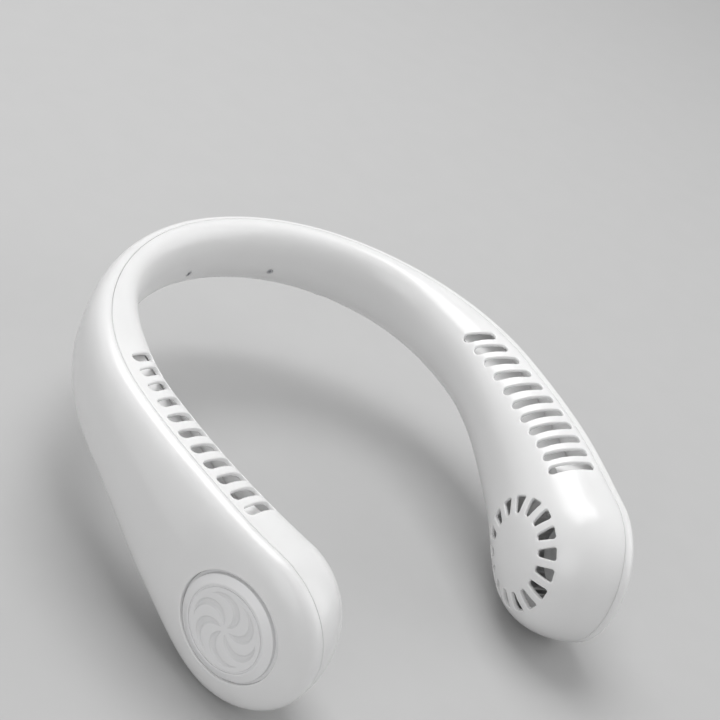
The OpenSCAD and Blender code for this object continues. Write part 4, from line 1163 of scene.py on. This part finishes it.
def crescent_net():
    """Flat places and depths of a crescent's net, one row of points for each step along it."""
    middle, half = crescent_line(np.linspace(0, 1, crescent_steps + 1))
    ahead = np.gradient(middle, axis=0)
    ahead /= np.linalg.norm(ahead, axis=1, keepdims=True)
    across = np.stack([-ahead[:, 1], ahead[:, 0]], axis=-1)
    inwards = np.linspace(0, 1, crescent_rows) ** crescent_crowding
    edge = np.concatenate([inwards - 1, (1 - inwards)[-2::-1]])
    flat = middle[:, None] + edge[:, None] * half[:, None, None] * across[:, None]
    rise = np.clip((1 - np.abs(edge)) * half[:, None] / crescent_wall, 0, 1)
    return flat, -crescent_depth * rise**2 * (3 - 2 * rise)


crescent_flat, crescent_depths = crescent_net()
print("a crescent's net has", crescent_depths.size, "points")

# %% Side caps
groove_width = 1.2
disc_proud = 0.4
bevel_width = 2.8
bevel_fall = 1.3
disc_thickness = 1.3
skirt_wall = 1.2
ring_width = 0.7
ring_depth = 0.5
ring_inset = 0.6
ring_margin = 0.6
disc_flange = 1.7
disc_flange_gap = 0.1
cap_seat = 0.02
cap_round = 0.22
disc_radius = pocket_radius - groove_width
disc_face = outer_bulge_sizes[1] + disc_proud
disc_field = disc_radius - bevel_width
groove_out = disc_field - ring_inset
groove_in = groove_out - ring_width
flange_radius = pocket_radius - disc_flange_gap
cap_line = soften([
    (groove_in - ring_margin, disc_face), (groove_in, disc_face),
    (groove_in, disc_face - ring_depth), (groove_out, disc_face - ring_depth),
    (groove_out, disc_face), (disc_field, disc_face),
    (disc_radius, disc_face - bevel_fall), (disc_radius, floor_top + disc_flange),
    (flange_radius, floor_top + disc_flange), (flange_radius, floor_top + cap_seat),
    (disc_radius - skirt_wall, floor_top + cap_seat),
    (disc_radius - skirt_wall, disc_face - bevel_fall - disc_thickness),
    (disc_field, disc_face - disc_thickness), (disc_field / 2, disc_face - disc_thickness)],
    cap_round)


def side_cap(side):
    """One cap: its turned body and its flat field with the crescents."""
    place = head_frames[side]
    sheet = Sheet()
    outline = np.concatenate([crescent_flat[:, 0], crescent_flat[-2:0:-1, -1]])
    spins = []
    for k in range(crescent_count):
        turn = 2 * math.pi * k / crescent_count
        spins.append(np.array([[math.cos(turn), math.sin(turn)],
                               [-math.sin(turn), math.cos(turn)]]))
    mouths = turned_with_holes(sheet, place, cap_line, [outline @ spin for spin in spins])
    # The crescents' nets take the darker material, which is their painted shade
    sheet.kind = 1
    count = len(crescent_flat)
    levels = disc_face + crescent_depths[:, 1:-1].ravel()
    for spin, mouth in zip(spins, mouths):
        inner = crescent_flat[:, 1:-1] @ spin
        added = sheet.add(place(inner[..., 0].ravel(), inner[..., 1].ravel(), levels))
        net = np.empty(crescent_flat.shape[:2], int)
        net[:, 1:-1] = added.reshape(inner.shape[:2])
        net[:, 0] = mouth[:count]
        net[1:-1, -1] = mouth[:count - 1:-1]
        net[0] = mouth[0]
        net[-1] = mouth[count - 1]
        sheet.put(grid_cells(net))
    name = "left" if side < 0 else "right"
    item = sheet.piece(f"{name}_cap", [disc_white, crescent_white])
    dress(item, "housing", "white_shell", f"{name}_side_disc")


side_cap(-1)
side_cap(1)

# %% [markdown]
# ## Button, lights and socket
# The photograph doesn't show the right side of the neck, so these follow what such fans have: one
# power button with a dished top, three pin lights that share one clear moulding, and a charging
# socket under the band. Each is small, but its edges are rounded and its mouth is real.

# %% Power button
button_proud = 0.45
button_round = 0.5
button_dish = 0.18
button_dish_margin = 0.25
button_lip = 0.1
button_corner = 0.45
button_points = 72
button_stem_radius = 1.6
button_flange_width = 0.9
button_flange = 0.8
button_flange_seat = 0.8
board_offset = -0.6
switch_height = 1.7
plunger_rise = 0.8
tiny_radius = 0.02  # a ring this small closes the middle of a dish
dish_shares = np.linspace(0.15, 1, 10)
stem_tip = 0.3
button_face = bulge(outer_face, board_place + button_shift)
button_top = button_face + button_proud
dish_bottom = button_top - button_dish
dish_radius = button_radius - button_round - button_dish_margin
flange_top = button_face - wall - button_flange_seat
flange_under = flange_top - button_flange
flange_rim = button_radius + button_flange_width
stem_end = board_offset + switch_height + plunger_rise
button_place = local_place(1, board_place, controls_z, button_shift)
profile = [(tiny_radius, dish_bottom)]
profile += [(dish_radius * t, button_top - button_dish * (1 - t**2) ** 2)
            for t in dish_shares]
profile += soften([
    (dish_radius + button_lip, button_top), (button_radius, button_top),
    (button_radius, flange_top), (flange_rim, flange_top), (flange_rim, flange_under),
    (button_stem_radius, flange_under), (button_stem_radius, stem_end), (stem_tip, stem_end)],
    button_corner)
sheet = Sheet()
sheet.closed(turned_rings(button_place, profile, button_points))
dress(sheet.piece("power_key", [key_white]), "button", "white_button", "power_button")

# %% Light pins
light_bar_thickness = 1.0
light_bar_margin = 1.2
light_bar_corner = 0.6
light_bar_edge = (0.25, 0.07)  # the round of its top edge, and the middle of that round
light_bar_foot = 0.2
pin_round = 0.22
pin_points = 32
pin_dome = 0.12
pin_shoulder = 0.02
pin_sink = 0.2  # how far a pin goes into the bar
dome_angles = np.linspace(0.1, 1.2, 5)
light_top = bulge(outer_face, light_place)
light_bar_top = light_top - wall - light_bar_thickness / 2
light_bar_under = light_bar_top - light_bar_thickness
corner_signs = ((1, 1), (-1, 1), (-1, -1), (1, -1))


def plate_outline(width, height, corner, count=8):
    """A rounded rectangle round its middle."""
    points = []
    for quarter, signs in enumerate(corner_signs):
        turn = math.pi / 2 * (quarter + np.linspace(0, 1, count))
        middle = np.array(signs) * [width / 2 - corner, height / 2 - corner]
        points.append(middle + on_circle(turn, corner))
    return np.concatenate(points)


def loft(sheet, place_at, outline_at, stations):
    """A closed body through outlines, each with its level and how much it grows."""
    sheet.closed([place_at(outline_at(grow), level) for level, grow in stations])


def soft_end(level, inwards, edge, middle):
    """Stations of a rounded end: at its level, part of the way in, and where the sides start."""
    return [(level, -edge), (level + inwards * middle, -middle), (level + inwards * edge, 0.0)]


def dome_level(angle):
    return light_top - pin_dome * (1 - math.cos(angle)) / (1 - math.cos(dome_angles[-1]))


sheet = Sheet()
dome = [(light_radius * math.sin(angle), dome_level(angle)) for angle in dome_angles]
pin = dome + soften([dome[-1], (light_radius, dome[-1][1] - pin_shoulder),
                     (light_radius, light_bar_top - pin_sink)], pin_round)[1:]
for shift in light_shifts:
    pin_place = local_place(1, light_place, controls_z, shift)
    sheet.closed(turned_rings(pin_place, pin, pin_points))
light_frame = local_place(1, light_place, controls_z)
bar_length = (light_count - 1) * light_pitch + 2 * light_bar_margin
loft(sheet, lambda flat, level: light_frame(flat[:, 0], flat[:, 1], level),
     lambda grow: plate_outline(
         bar_length + 2 * grow, 2 * (light_bar_margin + grow), light_bar_corner + grow),
     soft_end(light_bar_top, -1, *light_bar_edge)
     + [(light_bar_under + light_bar_foot, 0.0), (light_bar_under, -light_bar_foot)])
dress(sheet.piece("light_pins", [finishes["clear_plastic"]]), "housing", "clear_plastic", "light_pipe")

# %% Charging socket
socket_wall = 0.3
socket_depth = 7.0
socket_rim = 0.5
socket_corner_points = 12
tongue_size = (6.2, 0.7)
tongue_length = 4.6
tongue_corner = 0.3
tongue_edge = (0.2, 0.06)
contact_count = 12
contact_pitch = 0.5
contact_width = 0.26
contact_proud = 0.04
contact_corner = 0.03
contact_start = 0.5
contact_tip = (0.1, 0.02)  # length and depth of its sloped end
# Levels and growth from the back of the shell along its outside, round the lip, and back inside
socket_profile = [
    (socket_depth, -0.25), (socket_depth - 0.25, 0.0), (0.16, 0.0), (0.05, -0.03), (0.0, -0.1),
    (0.0, -0.17), (0.05, -0.26), (0.2, -socket_wall), (socket_depth - socket_wall, -socket_wall)]
run, height, depth = sections[inner_face]
share_down = np.interp(
    socket_offset / bulge(inner_face, board_place), depth[::-1], height[::-1])
socket_mouth = controls_z + socket_rim - half_height(board_place) * share_down
socket_frame = local_place(1, board_place, 0.0, socket_shift)


def socket_place(flat, level):
    return socket_frame(flat[:, 0], socket_mouth + level, flat[:, 1] - socket_offset)


def stadium(grow):
    return plate_outline(socket_width + 2 * grow, socket_thickness + 2 * grow,
                         socket_thickness / 2 + grow, socket_corner_points)


def tongue(grow):
    return plate_outline(*(side + 2 * grow for side in tongue_size), tongue_corner + grow)


def contact(middle):
    return lambda grow: middle + plate_outline(
        contact_width + 2 * grow, 2 * contact_proud + 2 * grow, contact_corner + grow, 3)


sheet = Sheet()
loft(sheet, socket_place, stadium, socket_profile)
tongue_start = socket_depth - socket_wall - tongue_length
sheet.kind = 1
loft(sheet, socket_place, tongue,
     soft_end(tongue_start, 1, *tongue_edge) + [(socket_depth - socket_wall / 2, 0.0)])
sheet.kind = 2
for side in (-1, 1):
    for k in range(contact_count):
        middle = np.array([(k - (contact_count - 1) / 2) * contact_pitch,
                           side * tongue_size[1] / 2])
        start = tongue_start + contact_start
        loft(sheet, socket_place, contact(middle), [
            (start, -contact_tip[1]), (start + contact_tip[0], 0.0),
            (socket_depth - socket_wall, 0.0)])
socket_finishes = [finishes[name] for name in ("socket_steel", "chip_black", "contact_gold")]
dress(sheet.piece("charging_socket", socket_finishes), "housing", "socket_steel", "usb_c_socket")

# %% Screws behind the neck
screw_head_radius = 1.15
screw_head = 0.7
screw_head_field = 0.95
screw_head_round = 0.18
screw_sink = 0.2
screw_radius = 0.7
screw_length = 6.0
screw_points = 48
screw_thread_pitch = 0.5
screw_thread_depth = 0.12
screw_thread_start = 0.1
screw_thread_rest = 0.8  # the plain length above and below the thread
screw_tip = (0.2, 0.6)  # radius of its flat end, and its length
cross_reach = 0.62
cross_half = 0.17
cross_depth = 0.38
cross_taper = 0.06
run, height, depth = sections[inner_face]
drop_share = neck_screw_drop / half_height(neck_screw_place)
depth_share = np.interp(drop_share, height, depth)
screw_face = bulge(inner_face, neck_screw_place) * depth_share
face_level = -screw_face + screw_sink


def cross_outline(grow):
    """A cross with twelve corners."""
    r, h = cross_reach + grow, cross_half + grow
    quarter = np.array([(r, -h), (r, h), (h, h)])
    turns = [np.linalg.matrix_power(np.array([[0, 1], [-1, 0]]), k) for k in range(4)]
    return np.concatenate([quarter @ turn for turn in turns])


def screw_place(side):
    """The screw's own frame, its head's face at level 0 and its length going outwards."""
    frame_at = local_place(side, neck_screw_place, screw_z)
    return lambda x, y, z: frame_at(x, y, face_level + z)


screw_line = soften([
    (screw_head_field, 0.0), (screw_head_radius, 0.0), (screw_head_radius, screw_head),
    (screw_radius, screw_head)], screw_head_round)
thread_root = screw_radius - screw_thread_depth
for k in range(int((screw_length - screw_head - screw_thread_rest) / screw_thread_pitch)):
    level = screw_head + screw_thread_start + k * screw_thread_pitch
    screw_line += [(thread_root, level), (screw_radius, level + screw_thread_pitch / 2)]
screw_line += [(thread_root, screw_length - screw_tip[1]), (screw_tip[0], screw_length)]
sheet = Sheet()
for side in (-1, 1):
    place = screw_place(side)
    [mouth] = turned_with_holes(sheet, place, screw_line, [cross_outline(0.0)], screw_points)
    bottom = cross_outline(-cross_taper)
    sheet.ended(mouth, [place(bottom[:, 0], bottom[:, 1], cross_depth)])
screw_pair = sheet.piece("neck_screw_pair", [finishes["screw_steel"]], sharp_degrees=30)
dress(screw_pair, "housing", "screw_steel", "neck_screws")
